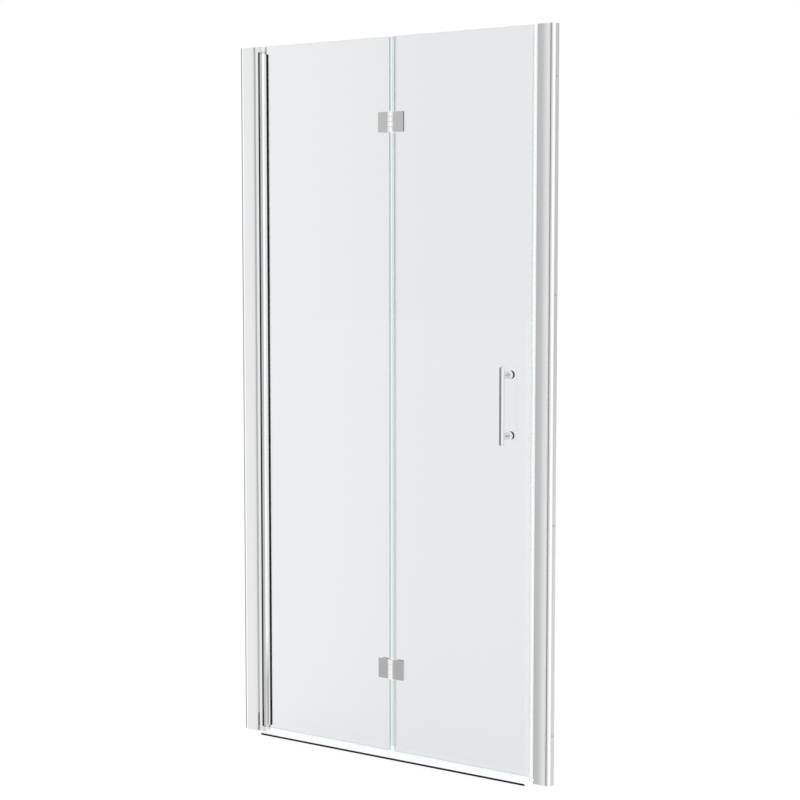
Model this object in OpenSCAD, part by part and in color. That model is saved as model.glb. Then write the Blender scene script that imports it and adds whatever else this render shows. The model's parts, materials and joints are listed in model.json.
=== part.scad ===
// Bifold shower door for an opening between two walls.
// X runs along the door, Y points into the shower, Z is up. The origin is on the tray,
// at the middle of the opening and in the mid-plane of the closed glass.

/* [Opening] */
// Width between the two walls
opening_w = 960; // [930:5:1000]
// Height of the frame and of the top of the glass
frame_h = 1850; // [1700:10:2000]
// Depth of the profiles from front to back
frame_d = 24; // [23:1:30]

/* [Wall channels] */
// Width of the lip that stays in view beside the wall
lip_w = 8; // [7:0.5:10]
// Radius of the lip's front corner
lip_front_r = 7; // [2:0.5:7]
// Radius of the lip's back corner
lip_back_r = 2; // [1:0.5:4]
// Thickness of the web that the wall screws go through
channel_web = 3; // [2.5:0.5:4]
// Wall thickness of the tongue
tongue_wall = 1.5; // [1.2:0.1:2]
// Length of the tongue beyond the lip
tongue_l = 28; // [20:1:30]
// Radius of the pivot channel's lower outer corner, which clears the tray's upstand
foot_r = 10; // [4:1:16]
// Diameter of the wall screw holes
wall_hole_d = 5; // [4:0.5:6]
// Spacing of the outer pair of wall screw holes
wall_outer_pitch = 1600; // [1500:10:1640]
// Spacing of the inner pair of wall screw holes
wall_inner_pitch = 560; // [400:10:800]
// Thickness of the closing caps in the profile tops
cap_t = 3; // [2:0.5:5]

/* [Jambs] */
// Width of each jamb's face
jamb_w = 33; // [32:0.5:36]
// Wall thickness of the jambs
jamb_wall = 2; // [1.8:0.1:2.4]
// Thickness of the magnet jamb's inner wall, which holds the white strip
magnet_wall = 5; // [4:0.5:6]
// Clearance between a jamb and the tongue inside it
slide_gap = 0.3; // [0.2:0.05:0.6]
// Opening left between lip and jamb by the width adjustment
seam_w = 6; // [2:0.5:10]
// Depth of the scoop in the magnet jamb's face
scoop_depth = 1; // [0.5:0.1:1.2]
// Flat land on each side of the scoop
scoop_land = 1; // [0.5:0.5:2]
// Length of the nose that reaches round the pivot post
nose_l = 11.9; // [11:0.1:16]
// Depth of the nose
nose_d = 15.6; // [14:0.2:18]
// Wall thickness of the nose
nose_wall = 1.5; // [1.2:0.1:2]

/* [Adjusting screws] */
// Number of adjusting screws on each side
adjust_n = 3; // [2:1:5]
// Height of the lowest adjusting screw
adjust_z0 = 150; // [80:10:300]
// Radius of the adjusting screws' shanks
adjust_r = 1.5; // [1.2:0.1:1.8]
// Length of a shank's tip inside the tongue
adjust_tip = 1; // [0.5:0.1:2]
// Radius of the adjusting screws' heads
adjust_head_r = 3; // [2.5:0.1:3.5]
// Height of the adjusting screws' heads
adjust_head_h = 1.6; // [1.2:0.1:2]
// Radius of the snap-on cover over each head
cover_r = 5; // [4.5:0.1:6]
// Height of the snap-on cover
cover_h = 3.2; // [3:0.1:4]
// Bevel round the cover's rim
cover_bevel = 1; // [0.4:0.1:1.2]

/* [Pivot post] */
// Radius of the round post
post_r = 9.7; // [8:0.1:10]
// Radius of the bore through the post
post_bore_r = 5; // [4.5:0.1:5.4]
// Running gap between the post and the nose's socket
socket_gap = 0.8; // [0.5:0.1:1.2]
// Distance from the pivot axis to the edge of the glass
edge_set = 12.35; // [11.5:0.05:14]
// Length of glass that the post's arms grip
grip_l = 6.1; // [5.5:0.1:12]
// Thickness of the post's arms
arm_t = 1.5; // [1.2:0.1:2]
// Space between an arm and the glass
bed_gap = 0.3; // [0.2:0.05:0.5]
// Thickness of the strip behind the glass edge
bed_t = 1.95; // [1:0.05:2.2]
// Distance from the tray, and from the top, to the ends of the post
post_end = 20; // [19:0.5:24]
// Thickness of the gasket and the rear bead over the arms
gasket_t = 1.15; // [0.8:0.05:1.5]
// Width of the black gasket and the rear bead
gasket_w = 4.2; // [3:0.1:5]
// Length of the gasket's lip on the glass
gasket_lip = 1.4; // [1:0.1:2]

/* [Pivot bearings] */
// Height of each pivot block
block_h = 14; // [12:0.5:15]
// Length of the block's tenon inside the nose
tenon_l = 26; // [20:1:40]
// Floor left under the bush in its block
block_floor = 2; // [1.5:0.5:3]
// Radius of the screws that hold the blocks
block_screw_r = 1.75; // [1.5:0.05:2]
// Radius of those screws' heads
block_head_r = 3.4; // [3:0.1:4]
// Height of those screws' heads
block_head_h = 2; // [1.5:0.1:2.5]
// Distance from the block's shoulder to its screw
block_screw_set = 13; // [10:0.5:16]
// Radius of the pivot pins
pin_r = 3; // [2.5:0.1:3.5]
// Running gap round a pin
run_gap = 0.05; // [0.03:0.01:0.09]
// Clearance of a piece that is seated in another
seat_gap = 0.05; // [0.03:0.01:0.08]
// Wall thickness of the pivot bushes
bush_wall = 1.8; // [1.2:0.1:2]
// Thickness of the bush's floor
bush_floor = 1; // [0.8:0.1:1.5]
// Gap between the pivot pin's end and the bush's floor
pin_end_gap = 1; // [0.5:0.1:2]
// Radius of the bush's thrust flange
bush_flange_r = 7; // [6:0.1:7.5]
// Thickness of the thrust flange
bush_flange_t = 0.6; // [0.4:0.1:0.8]
// End gap between a plug and its thrust flange
thrust_gap = 0.3; // [0.3:0.05:0.5]
// Length of a plug's spigot inside the post
spigot_l = 25; // [20:1:40]
// Floor that closes the plug's bore over the pin
spigot_floor = 1; // [1:0.5:3]

/* [Glass] */
// Thickness of the glass
glass_t = 6; // [6:0.5:6.5]
// Height of the lower edge of the glass above the tray
glass_z = 12.5; // [12:0.5:16]
// Width of the gap between the two panes
fold_gap = 15; // [14:0.5:17]
// Distance of the fold axis from the middle of the opening
fold_x = 5.5; // [0:0.1:12]

/* [Hinges] */
// Height of the hinge leaves
hinge_h = 51.5; // [46:0.5:60]
// Distance from the top of the glass to the middle of the upper hinge
hinge_top_set = 213.5; // [150:0.5:300]
// Height of the middle of the lower hinge
hinge_bottom_z = 229.3; // [150:0.1:300]
// Width of each hinge plate
plate_w = 30.8; // [26:0.2:34]
// Thickness of the front plates
plate_t = 4.5; // [4:0.1:8]
// Thickness of the clamp plates behind the glass
back_t = 5; // [4.5:0.1:6]
// Width of the clamp plates behind the glass
back_w = 16; // [14:0.1:26]
// Thickness of the pads between plates and glass
pad_t = 0.5; // [0.4:0.1:1]
// Distance from the rim of a plate to its pad
pad_inset = 0.5; // [0.2:0.1:1]
// Radius of the hinge barrel
barrel_r = 7.2; // [5.5:0.1:7.3]
// Distance of the hinge axis in front of the plates
hinge_rise = 1; // [0:0.1:2]
// Distance from the hinge axis to the inner edge of each plate
plate_set = 7.85; // [7.5:0.05:9]
// Number of knuckles in each barrel
knuckle_n = 4; // [2:2:6]
// Gap between neighbouring knuckles, which holds a washer
knuckle_gap = 0.7; // [0.5:0.1:1]
// Play on each side of a washer
washer_play = 0.1; // [0.05:0.01:0.15]
// Distance from the rim of the barrel to the rim of a washer
washer_inset = 0.6; // [0.3:0.1:1]
// Radius of the hinge pins
hinge_pin_r = 2.5; // [2:0.1:3]
// Spacing of the two clamp screws of a leaf
clamp_pitch = 26; // [20:1:32]
// Radius of the holes in the glass for the clamp screws
clamp_hole_r = 6; // [5:0.5:7]
// Radius of the clamp screws
clamp_screw_r = 2.5; // [2:0.1:3]
// Radius of the clamp screws' countersunk heads
clamp_head_r = 5; // [4.2:0.1:5.5]
// Clearance of the clamp screws in the clamp plates and pads
clamp_play = 0.3; // [0.2:0.05:0.5]
// Metal left in front of the clamp screws' threads
leaf_skin = 1.5; // [1:0.1:2.5]
// Gap between a clamp screw's tip and the end of its thread
tip_gap = 0.5; // [0.3:0.1:1]
// Key size of the clamp screws
key_w = 3; // [2.5:0.5:4]
// Depth of the clamp screws' sockets
key_depth = 2; // [1.5:0.1:2.4]

/* [Handle] */
// Distance from the closing edge of the glass to the handle
handle_set = 59.9; // [40:0.1:90]
// Height of the handle's middle
handle_z = 933.5; // [800:0.5:1100]
// Spacing of the two posts
handle_pitch = 150; // [120:1:170]
// Length of the bar
bar_l = 194; // [190:1:260]
// Radius of the bar
bar_r = 6.5; // [6:0.1:8]
// Distance from the face of the glass to the bar's axis
bar_reach = 37; // [34:0.5:60]
// Bevel round the ends of the bar
bar_bevel = 1.2; // [0.6:0.1:2]
// Radius of the handle's posts
stem_r = 8.4; // [8.2:0.1:9.5]
// Depth to which the posts' saddles reach round the bar, from its axis
saddle_set = 3.2; // [2:0.1:5]
// Radius of the flanges on the glass
flange_r = 10.2; // [10:0.1:13]
// Thickness of the flanges
flange_t = 7.9; // [2:0.1:9]
// Bevel round the flanges
flange_bevel = 0.8; // [0.4:0.1:1.5]
// Thickness of the black rings behind the glass
ring_t = 4.3; // [2:0.1:6]
// Thickness of the clear washers on the glass
spacer_t = 0.8; // [0.5:0.1:1.2]
// Distance from the rim of a flange to the rim of its clear washer
spacer_inset = 0.5; // [0.2:0.1:1]
// Radius of the holes in the glass for the handle
handle_hole_r = 6; // [5:0.5:8]
// Radius of the studs through the glass
stud_r = 3; // [2.5:0.1:4]
// Distance from the bar's axis to the end of each stud
stud_set = 15.5; // [13:0.5:20]
// Height of the rear caps
rear_h = 3.5; // [3:0.1:6]
// Radius of the rear caps
rear_r = 8; // [7:0.1:9.5]
// Bevel round the rear caps
rear_bevel = 1; // [0.5:0.1:1.5]
// Metal left behind the stud in a rear cap
rear_skin = 2; // [1.5:0.1:2.5]
// Length of the grub screws
grub_l = 5; // [4:0.1:5.4]
// Radius of the grub screws
grub_r = 2; // [1.5:0.1:2.5]
// Distance from the bar's axis to the grub screws
grub_set = 1.2; // [0.8:0.1:1.6]

/* [Seals] */
// Thickness of the clear seals' legs
leg_t = 0.7; // [0.5:0.1:1]
// Gap between a seal's leg and the glass
leg_gap = 0.05; // [0.03:0.01:0.1]
// Gap at the ends of the seals
end_gap = 0.3; // [0.2:0.05:0.6]
// Height of the drip seals' tips above the tray
drip_z = 5.5; // [5.3:0.1:7]
// Width of the drip seals' tips
drip_tip_w = 3.2; // [2:0.1:4]
// Length of the drip seals' legs on the glass
drip_leg = 11.5; // [8:0.5:14]
// Reach of the drip fins behind the glass
drip_fin = 7; // [4:0.5:9]
// Length of the fold seal's legs on the glass
fold_leg = 5; // [3:0.1:9]
// Length of the fold seal's body beside the glass
fold_body = 5.2; // [4:0.1:6]
// Distance of the fold seal's lip behind the glass mid-plane
fold_lip_y = 1.2; // [-1:0.1:2]
// Distance between the fold seal and each hinge
fold_hinge_gap = 1.5; // [0.5:0.1:3]
// Length of the edge seal's legs on the glass
edge_leg = 13; // [8:0.5:16]
// Length of the clear head between glass and magnet
edge_head = 5.2; // [4.6:0.1:7]
// Step between the clear head and the white strip on each face
edge_step = 0.4; // [0.2:0.1:1]
// Width of each white magnetic strip
magnet_w = 5.8; // [5.2:0.1:7]
// Depth of the white strips from front to back
magnet_d = 10; // [9:0.5:12]
// Corner radius of the white strips
magnet_corner = 1; // [0.5:0.1:1.2]
// Gap between the two strips when the door is closed
magnet_gap = 0.5; // [0.4:0.1:1]
// Width of the slot's mouth for a white strip's root
root_neck_w = 2.8; // [2:0.1:3.4]
// Width of the root inside the slot
root_w = 5.2; // [4.4:0.1:6]
// Depth of the slot's mouth
root_neck_l = 1.4; // [1:0.1:1.8]
// Depth of the whole slot
root_l = 3.4; // [3:0.1:3.6]
// Thickness of the magnet bands
core_t = 2.5; // [2:0.1:3]
// Depth of the magnet bands
core_d = 7; // [5:0.5:7.5]

/* [Sill] */
// Distance from the glass mid-plane to the sill's front edge
sill_front = 40; // [34:1:50]
// Distance from the glass mid-plane to the sill's back edge
sill_back = 8; // [6:0.5:12]
// Height of the sill
sill_h = 4.8; // [4:0.1:5]
// Thickness of the sill's top
sill_top_t = 1.6; // [1.2:0.1:2]
// Width of the sill's rear foot
sill_foot_w = 12; // [12:0.5:16]
// Thickness of the sill's ribs
sill_rib_t = 1.6; // [1.2:0.1:2.5]
// Thickness of the sill's end caps
sill_cap_t = 3; // [2:0.5:4]
// Length of the end caps' pegs inside the sill
sill_peg_l = 6; // [3:0.5:12]
// Distance from the pivot axis to the sill's left end
sill_start = 10.9; // [10:0.1:14]
// Distance from the magnet jamb to the sill's right end
sill_stop = 7.4; // [6:0.1:12]
// Thickness of the dark strip in front of the sill
strip_front_t = 1.2; // [0.8:0.1:1.6]
// Height of the dark strip in front of the sill
strip_front_h = 4.8; // [3.6:0.1:5]
// Radius of the dark strip's upper edge
strip_round = 0.8; // [0.3:0.1:1.1]
// Depth of the dark strip with its root under the sill
strip_w = 2.8; // [2.4:0.1:4]

/* [Hidden] */
$fn = 48;
// Facets of the scoop's long arc
scoop_fn = 180;
// Overlap that joins two shapes, and overshoot of a cut
eps = 0.01;
over = 1;

// Colours as the photograph shows them
chrome = [0.86, 0.87, 0.88];
glass_tint = [0.80, 0.90, 0.88, 0.35];
clear_vinyl = [0.88, 0.92, 0.93, 0.6];
white_vinyl = [0.97, 0.97, 0.96];
black_rubber = [0.06, 0.06, 0.06];
nylon = [0.90, 0.90, 0.87];
steel = [0.72, 0.73, 0.74];

// Places along X
wall_x = -opening_w / 2;
jamb_l0 = wall_x + lip_w + seam_w;
jamb_l1 = jamb_l0 + jamb_w;
jamb_r0 = -jamb_l1;
nose_x1 = jamb_l1 + nose_l;
nose_hollow_x1 = nose_x1 - 2 * nose_wall - socket_gap;
pivot_x = nose_x1 + post_r;
pane_l0 = pivot_x + edge_set;
pane_l1 = fold_x - fold_gap / 2;
pane_r0 = fold_x + fold_gap / 2;
jamb_strip_x0 = jamb_r0 - magnet_w;
door_strip_x1 = jamb_strip_x0 - magnet_gap;
door_strip_x0 = door_strip_x1 - magnet_w;
pane_r1 = door_strip_x0 - edge_head;
arm_x1 = pane_l0 + grip_l;
gasket_x1 = arm_x1 + gasket_lip;
gasket_x0 = gasket_x1 - gasket_w;
adjust_x = wall_x + lip_w + (seam_w + tongue_l) / 2;
block_screw_x = (jamb_l1 + nose_hollow_x1) / 2;
clamp_l_x = fold_x - plate_set - plate_w / 2;
clamp_r_x = fold_x + plate_set + plate_w / 2;
handle_x = pane_r1 - handle_set;
sill_x0 = pivot_x + sill_start;
sill_x1 = jamb_r0 - sill_stop;

// Places along Y
half_d = frame_d / 2;
half_g = glass_t / 2;
half_sleeve = half_d - jamb_wall;
half_tongue = half_sleeve - slide_gap;
half_hollow = half_tongue - tongue_wall;
half_nose = nose_d / 2;
half_nose_in = half_nose - nose_wall;
half_magnet = magnet_d / 2;
arm_in = half_g + bed_gap;
arm_out = arm_in + arm_t;
post_out = arm_out + gasket_t;
leg_in = half_g + leg_gap;
leg_out = leg_in + leg_t;
leaf_y1 = -half_g - pad_t;
leaf_y0 = leaf_y1 - plate_t;
fold_y = leaf_y0 - hinge_rise;
back_y0 = half_g + pad_t;
back_y1 = back_y0 + back_t;
thread_y = leaf_y0 + leaf_skin;
bar_y = -half_g - bar_reach;
flange_y1 = -half_g - spacer_t;
flange_y0 = flange_y1 - flange_t;
rear_y0 = half_g + ring_t;
rear_y1 = rear_y0 + rear_h;
stud_y1 = rear_y1 - rear_skin;
strip_y0 = -sill_front;
strip_mid_y = strip_y0 + strip_front_t;
strip_y1 = strip_y0 + strip_w;
sill_y0 = strip_mid_y + seat_gap;
rib_y0 = strip_y1 + seat_gap;
rib_y1 = rib_y0 + sill_rib_t;
mid_rib_y0 = (sill_back - sill_front - sill_rib_t) / 2;
mid_rib_y1 = mid_rib_y0 + sill_rib_t;
foot_y0 = sill_back - sill_foot_w;

// Places along Z
post_z0 = post_end;
post_z1 = frame_h - post_end;
flange_top_z = block_h + bush_flange_t;
plug_z0 = flange_top_z + thrust_gap;
plug_z1 = post_z0 + spigot_l;
bush_bore_z = block_floor + bush_floor;
block_screw_z = block_h + block_screw_set;
leg_z1 = glass_z + drip_leg;
hinge_z_bottom = hinge_bottom_z;
hinge_z_top = frame_h - hinge_top_set;
hinge_zs = [hinge_z_bottom, hinge_z_top];
clamp_zs = [for (z = hinge_zs, side = [-1, 1]) z + side * clamp_pitch / 2];
handle_zs = [handle_z - handle_pitch / 2, handle_z + handle_pitch / 2];
adjust_step = (frame_h - 2 * adjust_z0) / (adjust_n - 1);
adjust_zs = [for (i = [0 : adjust_n - 1]) adjust_z0 + i * adjust_step];
wall_hole_zs = [
    for (pitch = [wall_outer_pitch, wall_inner_pitch], side = [-1, 1])
        (frame_h + side * pitch) / 2
];

// Sizes of fitted pieces
bush_r = pin_r + run_gap + bush_wall;
knuckle_pitch = (hinge_h + knuckle_gap) / knuckle_n;
knuckle_h = knuckle_pitch - knuckle_gap;
sink_depth = clamp_head_r - clamp_screw_r;
scoop_half = jamb_w / 2 - scoop_land;
scoop_r = (scoop_half * scoop_half + scoop_depth * scoop_depth) / (2 * scoop_depth);
sill_cavity_h = sill_h - sill_top_t;

// ---------- Helpers ----------

// Copies its children from the foot of the frame to the head
module at_top() {
    translate([0, 0, frame_h]) mirror([0, 0, 1]) children();
}

// Copies its children from the pivot side to the magnet side
module at_right() {
    mirror([1, 0, 0]) children();
}

// A box and a rectangle, each given by its lowest and highest corners
module span(low, high) {
    translate(low) cube(high - low);
}

module span2(low, high) {
    translate(low) square(high - low);
}

// A cylinder along Y, or along X, between two places
module rod_y(x, z, y0, y1, r) {
    translate([x, y0, z]) rotate([-90, 0, 0]) cylinder(h = y1 - y0, r = r);
}

module rod_x(x0, x1, y, z, r) {
    translate([x0, y, z]) rotate([0, 90, 0]) cylinder(h = x1 - x0, r = r);
}

// A cone along Y with radius r0 at y0 and r1 at y1
module cone_y(x, z, y0, y1, r0, r1) {
    translate([x, y0, z]) rotate([-90, 0, 0]) cylinder(h = y1 - y0, r1 = r0, r2 = r1);
}

// What is cut from a square corner at the origin to round it with radius r
module corner_waste(r) {
    difference() {
        translate([-over, -over]) square(r + over);
        translate([r, r]) circle(r);
    }
}

// Stretches a section of depth and height along X
module along_x(x0, x1) {
    translate([x0, 0, 0]) rotate([90, 0, 90]) linear_extrude(x1 - x0) children();
}

// ---------- Frame ----------

// A wall channel: a rounded lip at the wall and a hollow tongue towards the door
module channel_section() {
    tongue_x1 = lip_w + tongue_l;
    difference() {
        union() {
            span2([0, -half_d], [lip_w, half_d]);
            span2([lip_w - eps, -half_tongue], [tongue_x1, half_tongue]);
        }
        span2([channel_web, -half_hollow], [tongue_x1 + over, half_hollow]);
        translate([0, -half_d]) corner_waste(lip_front_r);
        translate([0, half_d]) mirror([0, 1]) corner_waste(lip_back_r);
    }
}

module wall_channel() {
    difference() {
        translate([wall_x, 0, 0]) linear_extrude(frame_h) channel_section();
        for (z = wall_hole_zs)
            rod_x(wall_x - over, wall_x + channel_web + over, 0, z, wall_hole_d / 2);
        for (z = adjust_zs)
            rod_y(adjust_x, z, 0, half_d, adjust_r + seat_gap);
    }
}

module wall_channel_left() {
    color(chrome) difference() {
        wall_channel();
        translate([wall_x, half_d + over, 0]) rotate([90, 0, 0])
            linear_extrude(frame_d + 2 * over) corner_waste(foot_r);
    }
}

module wall_channel_right() {
    color(chrome) at_right() wall_channel();
}

// A sleeve over a channel's tongue, open towards the wall
module sleeve_section(end_wall) {
    difference() {
        span2([jamb_l0, -half_d], [jamb_l1, half_d]);
        span2([jamb_l0 - over, -half_sleeve], [jamb_l1 - end_wall, half_sleeve]);
    }
}

module adjust_holes() {
    for (z = adjust_zs)
        rod_y(adjust_x, z, 0, half_d + over, adjust_r + slide_gap);
}

// The hollow nose of the pivot jamb with its round socket for the post
module nose_section() {
    difference() {
        span2([jamb_l1 - eps, -half_nose], [nose_x1, half_nose]);
        span2([jamb_l1, -half_nose_in], [nose_hollow_x1, half_nose_in]);
        translate([pivot_x, 0]) circle(post_r + socket_gap);
    }
}

module block_screw_hole() {
    rod_y(block_screw_x, block_screw_z, 0, half_nose + over, block_screw_r + seat_gap);
}

module jamb_pivot() {
    color(chrome) difference() {
        union() {
            linear_extrude(frame_h) sleeve_section(jamb_wall);
            translate([0, 0, block_h]) linear_extrude(frame_h - 2 * block_h) nose_section();
        }
        adjust_holes();
        block_screw_hole();
        at_top() block_screw_hole();
    }
}

// A slot that opens towards -X at x, wider inside than at its mouth
module root_slot(x) {
    span2([x - over, -root_neck_w / 2], [x + root_l, root_neck_w / 2]);
    span2([x + root_neck_l, -root_w / 2], [x + root_l, root_w / 2]);
}

// The root that fits such a slot with a seating gap all round
module root_key(x) {
    neck = root_neck_w / 2 - seat_gap;
    foot = root_w / 2 - seat_gap;
    span2([x - seat_gap - eps, -neck], [x + root_l - seat_gap, neck]);
    span2([x + root_neck_l + seat_gap, -foot], [x + root_l - seat_gap, foot]);
}

module jamb_magnet() {
    scoop_x = jamb_r0 + jamb_w / 2;
    color(chrome) difference() {
        linear_extrude(frame_h) difference() {
            at_right() sleeve_section(magnet_wall);
            root_slot(jamb_r0);
            translate([scoop_x, scoop_depth - half_d - scoop_r]) circle(scoop_r, $fn = scoop_fn);
        }
        at_right() adjust_holes();
    }
}

// A cap that closes the top of a channel and of the jamb whose inner wall is given
module channel_cap(end_wall) {
    channel_y = half_hollow - seat_gap;
    jamb_y = half_sleeve - seat_gap;
    tongue_x1 = wall_x + lip_w + tongue_l;
    z0 = frame_h - cap_t;
    span([wall_x + channel_web + seat_gap, -channel_y, z0],
         [tongue_x1 + seat_gap + eps, channel_y, frame_h]);
    span([tongue_x1 + seat_gap, -jamb_y, z0], [jamb_l1 - end_wall - seat_gap, jamb_y, frame_h]);
}

module channel_caps() {
    color(nylon) {
        channel_cap(jamb_wall);
        at_right() channel_cap(magnet_wall);
    }
}

// The screws that lock one jamb on its channel
module adjusting_row() {
    for (z = adjust_zs) {
        rod_y(adjust_x, z, half_hollow - adjust_tip, half_d + eps, adjust_r);
        rod_y(adjust_x, z, half_d, half_d + adjust_head_h, adjust_head_r);
    }
}

module adjusting_screws() {
    color(steel) {
        adjusting_row();
        at_right() adjusting_row();
    }
}

// Round covers with a bevelled rim and a pocket for the screw head
module cover_row() {
    bevel_y = half_d + cover_h - cover_bevel;
    for (z = adjust_zs) difference() {
        union() {
            rod_y(adjust_x, z, half_d, bevel_y, cover_r);
            cone_y(adjust_x, z, bevel_y - eps, half_d + cover_h, cover_r, cover_r - cover_bevel);
        }
        rod_y(adjust_x, z, half_d - over, half_d + adjust_head_h + seat_gap,
              adjust_head_r + seat_gap);
    }
}

module screw_covers() {
    color(chrome) {
        cover_row();
        at_right() cover_row();
    }
}

// A block at the end of the nose that carries the pivot bush
module pivot_block() {
    tenon_y = half_nose_in - seat_gap;
    difference() {
        union() {
            span([jamb_l1 + seat_gap, -half_nose, 0], [pivot_x, half_nose, block_h - seat_gap]);
            translate([pivot_x, 0, 0]) cylinder(h = block_h - seat_gap, r = post_r);
            span([jamb_l1 + seat_gap, -tenon_y, block_floor],
                 [nose_hollow_x1 - seat_gap, tenon_y, block_h + tenon_l]);
        }
        translate([pivot_x, 0, block_floor]) cylinder(h = block_h, r = bush_r + seat_gap);
        rod_y(block_screw_x, block_screw_z, -half_nose, half_nose, block_screw_r + seat_gap);
    }
}

module pivot_block_bottom() {
    color(chrome) pivot_block();
}

module pivot_block_top() {
    color(chrome) at_top() pivot_block();
}

module pivot_bush() {
    translate([pivot_x, 0, 0]) difference() {
        union() {
            translate([0, 0, block_floor]) cylinder(h = block_h - block_floor, r = bush_r);
            translate([0, 0, block_h - eps]) cylinder(h = bush_flange_t, r = bush_flange_r);
        }
        translate([0, 0, bush_bore_z]) cylinder(h = block_h, r = pin_r + run_gap);
    }
}

module pivot_bush_bottom() {
    color(nylon) pivot_bush();
}

module pivot_bush_top() {
    color(nylon) at_top() pivot_bush();
}

module block_screw() {
    rod_y(block_screw_x, block_screw_z, -half_nose_in, half_nose + eps, block_screw_r);
    rod_y(block_screw_x, block_screw_z, half_nose, half_nose + block_head_h, block_head_r);
}

module block_screws() {
    color(steel) {
        block_screw();
        at_top() block_screw();
    }
}

// A white strip from x0 to x1 with a slot for its magnet band
module magnet_strip_section(x0, x1) {
    core_x = (x0 + x1) / 2;
    difference() {
        span2([x0, -half_magnet], [x1, half_magnet]);
        for (side = [0, 1]) mirror([0, side]) {
            translate([x0, -half_magnet]) corner_waste(magnet_corner);
            translate([x1, -half_magnet]) mirror([1, 0]) corner_waste(magnet_corner);
        }
        span2([core_x - core_t / 2, -core_d / 2], [core_x + core_t / 2, core_d / 2]);
    }
}

// The magnet band of a strip from x0 to x1, from z0 to the top
module magnet_band(x0, x1, z0) {
    core_x = (x0 + x1) / 2;
    half_t = core_t / 2 - seat_gap;
    half_w = core_d / 2 - seat_gap;
    span([core_x - half_t, -half_w, z0], [core_x + half_t, half_w, frame_h]);
}

module jamb_magnet_seal() {
    color(white_vinyl) linear_extrude(frame_h) {
        magnet_strip_section(jamb_strip_x0, jamb_r0 - seat_gap);
        root_key(jamb_r0);
    }
}

module jamb_magnet_core() {
    color(black_rubber) magnet_band(jamb_strip_x0, jamb_r0 - seat_gap, 0);
}

// ---------- Sill ----------

// Outline of the sill in depth and height, rounded along both upper edges
module sill_outline() {
    difference() {
        span2([sill_y0, 0], [sill_back, sill_h]);
        translate([sill_y0, sill_h]) mirror([0, 1]) corner_waste(sill_top_t);
        translate([sill_back, sill_h]) rotate(180) corner_waste(sill_top_t);
    }
}

module sill() {
    color(chrome) along_x(sill_x0 + sill_cap_t, sill_x1 - sill_cap_t) difference() {
        sill_outline();
        span2([-sill_front - over, -over], [rib_y0, sill_cavity_h]);
        span2([rib_y1, -over], [mid_rib_y0, sill_cavity_h]);
        span2([mid_rib_y1, -over], [foot_y0, sill_cavity_h]);
    }
}

// An end cap that starts at x0, with a peg between the sill's ribs from peg_x0
module sill_cap(x0, peg_x0) {
    along_x(x0, x0 + sill_cap_t) sill_outline();
    span([peg_x0, rib_y1 + seat_gap, 0],
         [peg_x0 + sill_peg_l + sill_cap_t, mid_rib_y0 - seat_gap, sill_cavity_h - seat_gap]);
}

module sill_cap_left() {
    color(chrome) sill_cap(sill_x0, sill_x0);
}

module sill_cap_right() {
    color(chrome) sill_cap(sill_x1 - sill_cap_t, sill_x1 - sill_cap_t - sill_peg_l);
}

// A dark strip along the whole front with a root that sits under the sill's edge
module sill_gasket() {
    color(black_rubber) {
        along_x(sill_x0, sill_x1) difference() {
            span2([strip_y0, 0], [strip_mid_y, strip_front_h]);
            translate([strip_y0, strip_front_h]) mirror([0, 1]) corner_waste(strip_round);
        }
        span([sill_x0 + sill_cap_t + seat_gap, strip_mid_y - eps, 0],
             [sill_x1 - sill_cap_t - seat_gap, strip_y1, sill_cavity_h - seat_gap]);
    }
}

// ---------- Pivot panel ----------

// The post: a tube, a solid neck and two arms that grip the glass
module post_section() {
    difference() {
        union() {
            translate([pivot_x, 0]) circle(post_r);
            span2([pivot_x, -post_out], [gasket_x0, post_out]);
            span2([pivot_x, -arm_out], [arm_x1, arm_out]);
        }
        translate([pivot_x, 0]) circle(post_bore_r);
        span2([pane_l0 - bed_t - seat_gap, -arm_in], [arm_x1 + over, arm_in]);
    }
}

module pivot_post() {
    color(chrome) translate([0, 0, post_z0]) linear_extrude(post_z1 - post_z0) post_section();
}

// A plug that closes the post's end and holds the pivot pin
module post_plug() {
    translate([pivot_x, 0, 0]) difference() {
        union() {
            translate([0, 0, plug_z0]) cylinder(h = post_z0 - plug_z0, r = post_r);
            translate([0, 0, plug_z0])
                cylinder(h = plug_z1 - plug_z0, r = post_bore_r - seat_gap);
        }
        translate([0, 0, plug_z0 - over])
            cylinder(h = plug_z1 - spigot_floor - plug_z0 + over, r = pin_r + seat_gap);
    }
}

module post_plug_bottom() {
    color(chrome) post_plug();
}

module post_plug_top() {
    color(chrome) at_top() post_plug();
}

module pivot_pin() {
    z0 = bush_bore_z + pin_end_gap;
    translate([pivot_x, 0, z0]) cylinder(h = plug_z1 - spigot_floor - seat_gap - z0, r = pin_r);
}

module pivot_pin_bottom() {
    color(steel) pivot_pin();
}

module pivot_pin_top() {
    color(steel) at_top() pivot_pin();
}

// A cover on the front arm, turned in over the arm's tip to touch the glass
module gasket_section() {
    polygon([
        [gasket_x0 + seat_gap, -post_out], [gasket_x1, -post_out],
        [gasket_x1, -half_g - seat_gap], [arm_x1 + seat_gap, -half_g - seat_gap],
        [arm_x1 + seat_gap, -arm_out - seat_gap], [gasket_x0 + seat_gap, -arm_out - seat_gap]
    ]);
}

module glazing_gasket() {
    color(black_rubber)
        translate([0, 0, post_z0]) linear_extrude(post_z1 - post_z0) gasket_section();
}

// The same cover on the rear arm, in clear vinyl
module glazing_bead() {
    color(clear_vinyl) mirror([0, 1, 0])
        translate([0, 0, post_z0]) linear_extrude(post_z1 - post_z0) gasket_section();
}

module glass_bed() {
    bed_y = arm_in - seat_gap;
    color(black_rubber)
        span([pane_l0 - bed_t, -bed_y, post_z0], [pane_l0 - seat_gap, bed_y, post_z1]);
}

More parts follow.
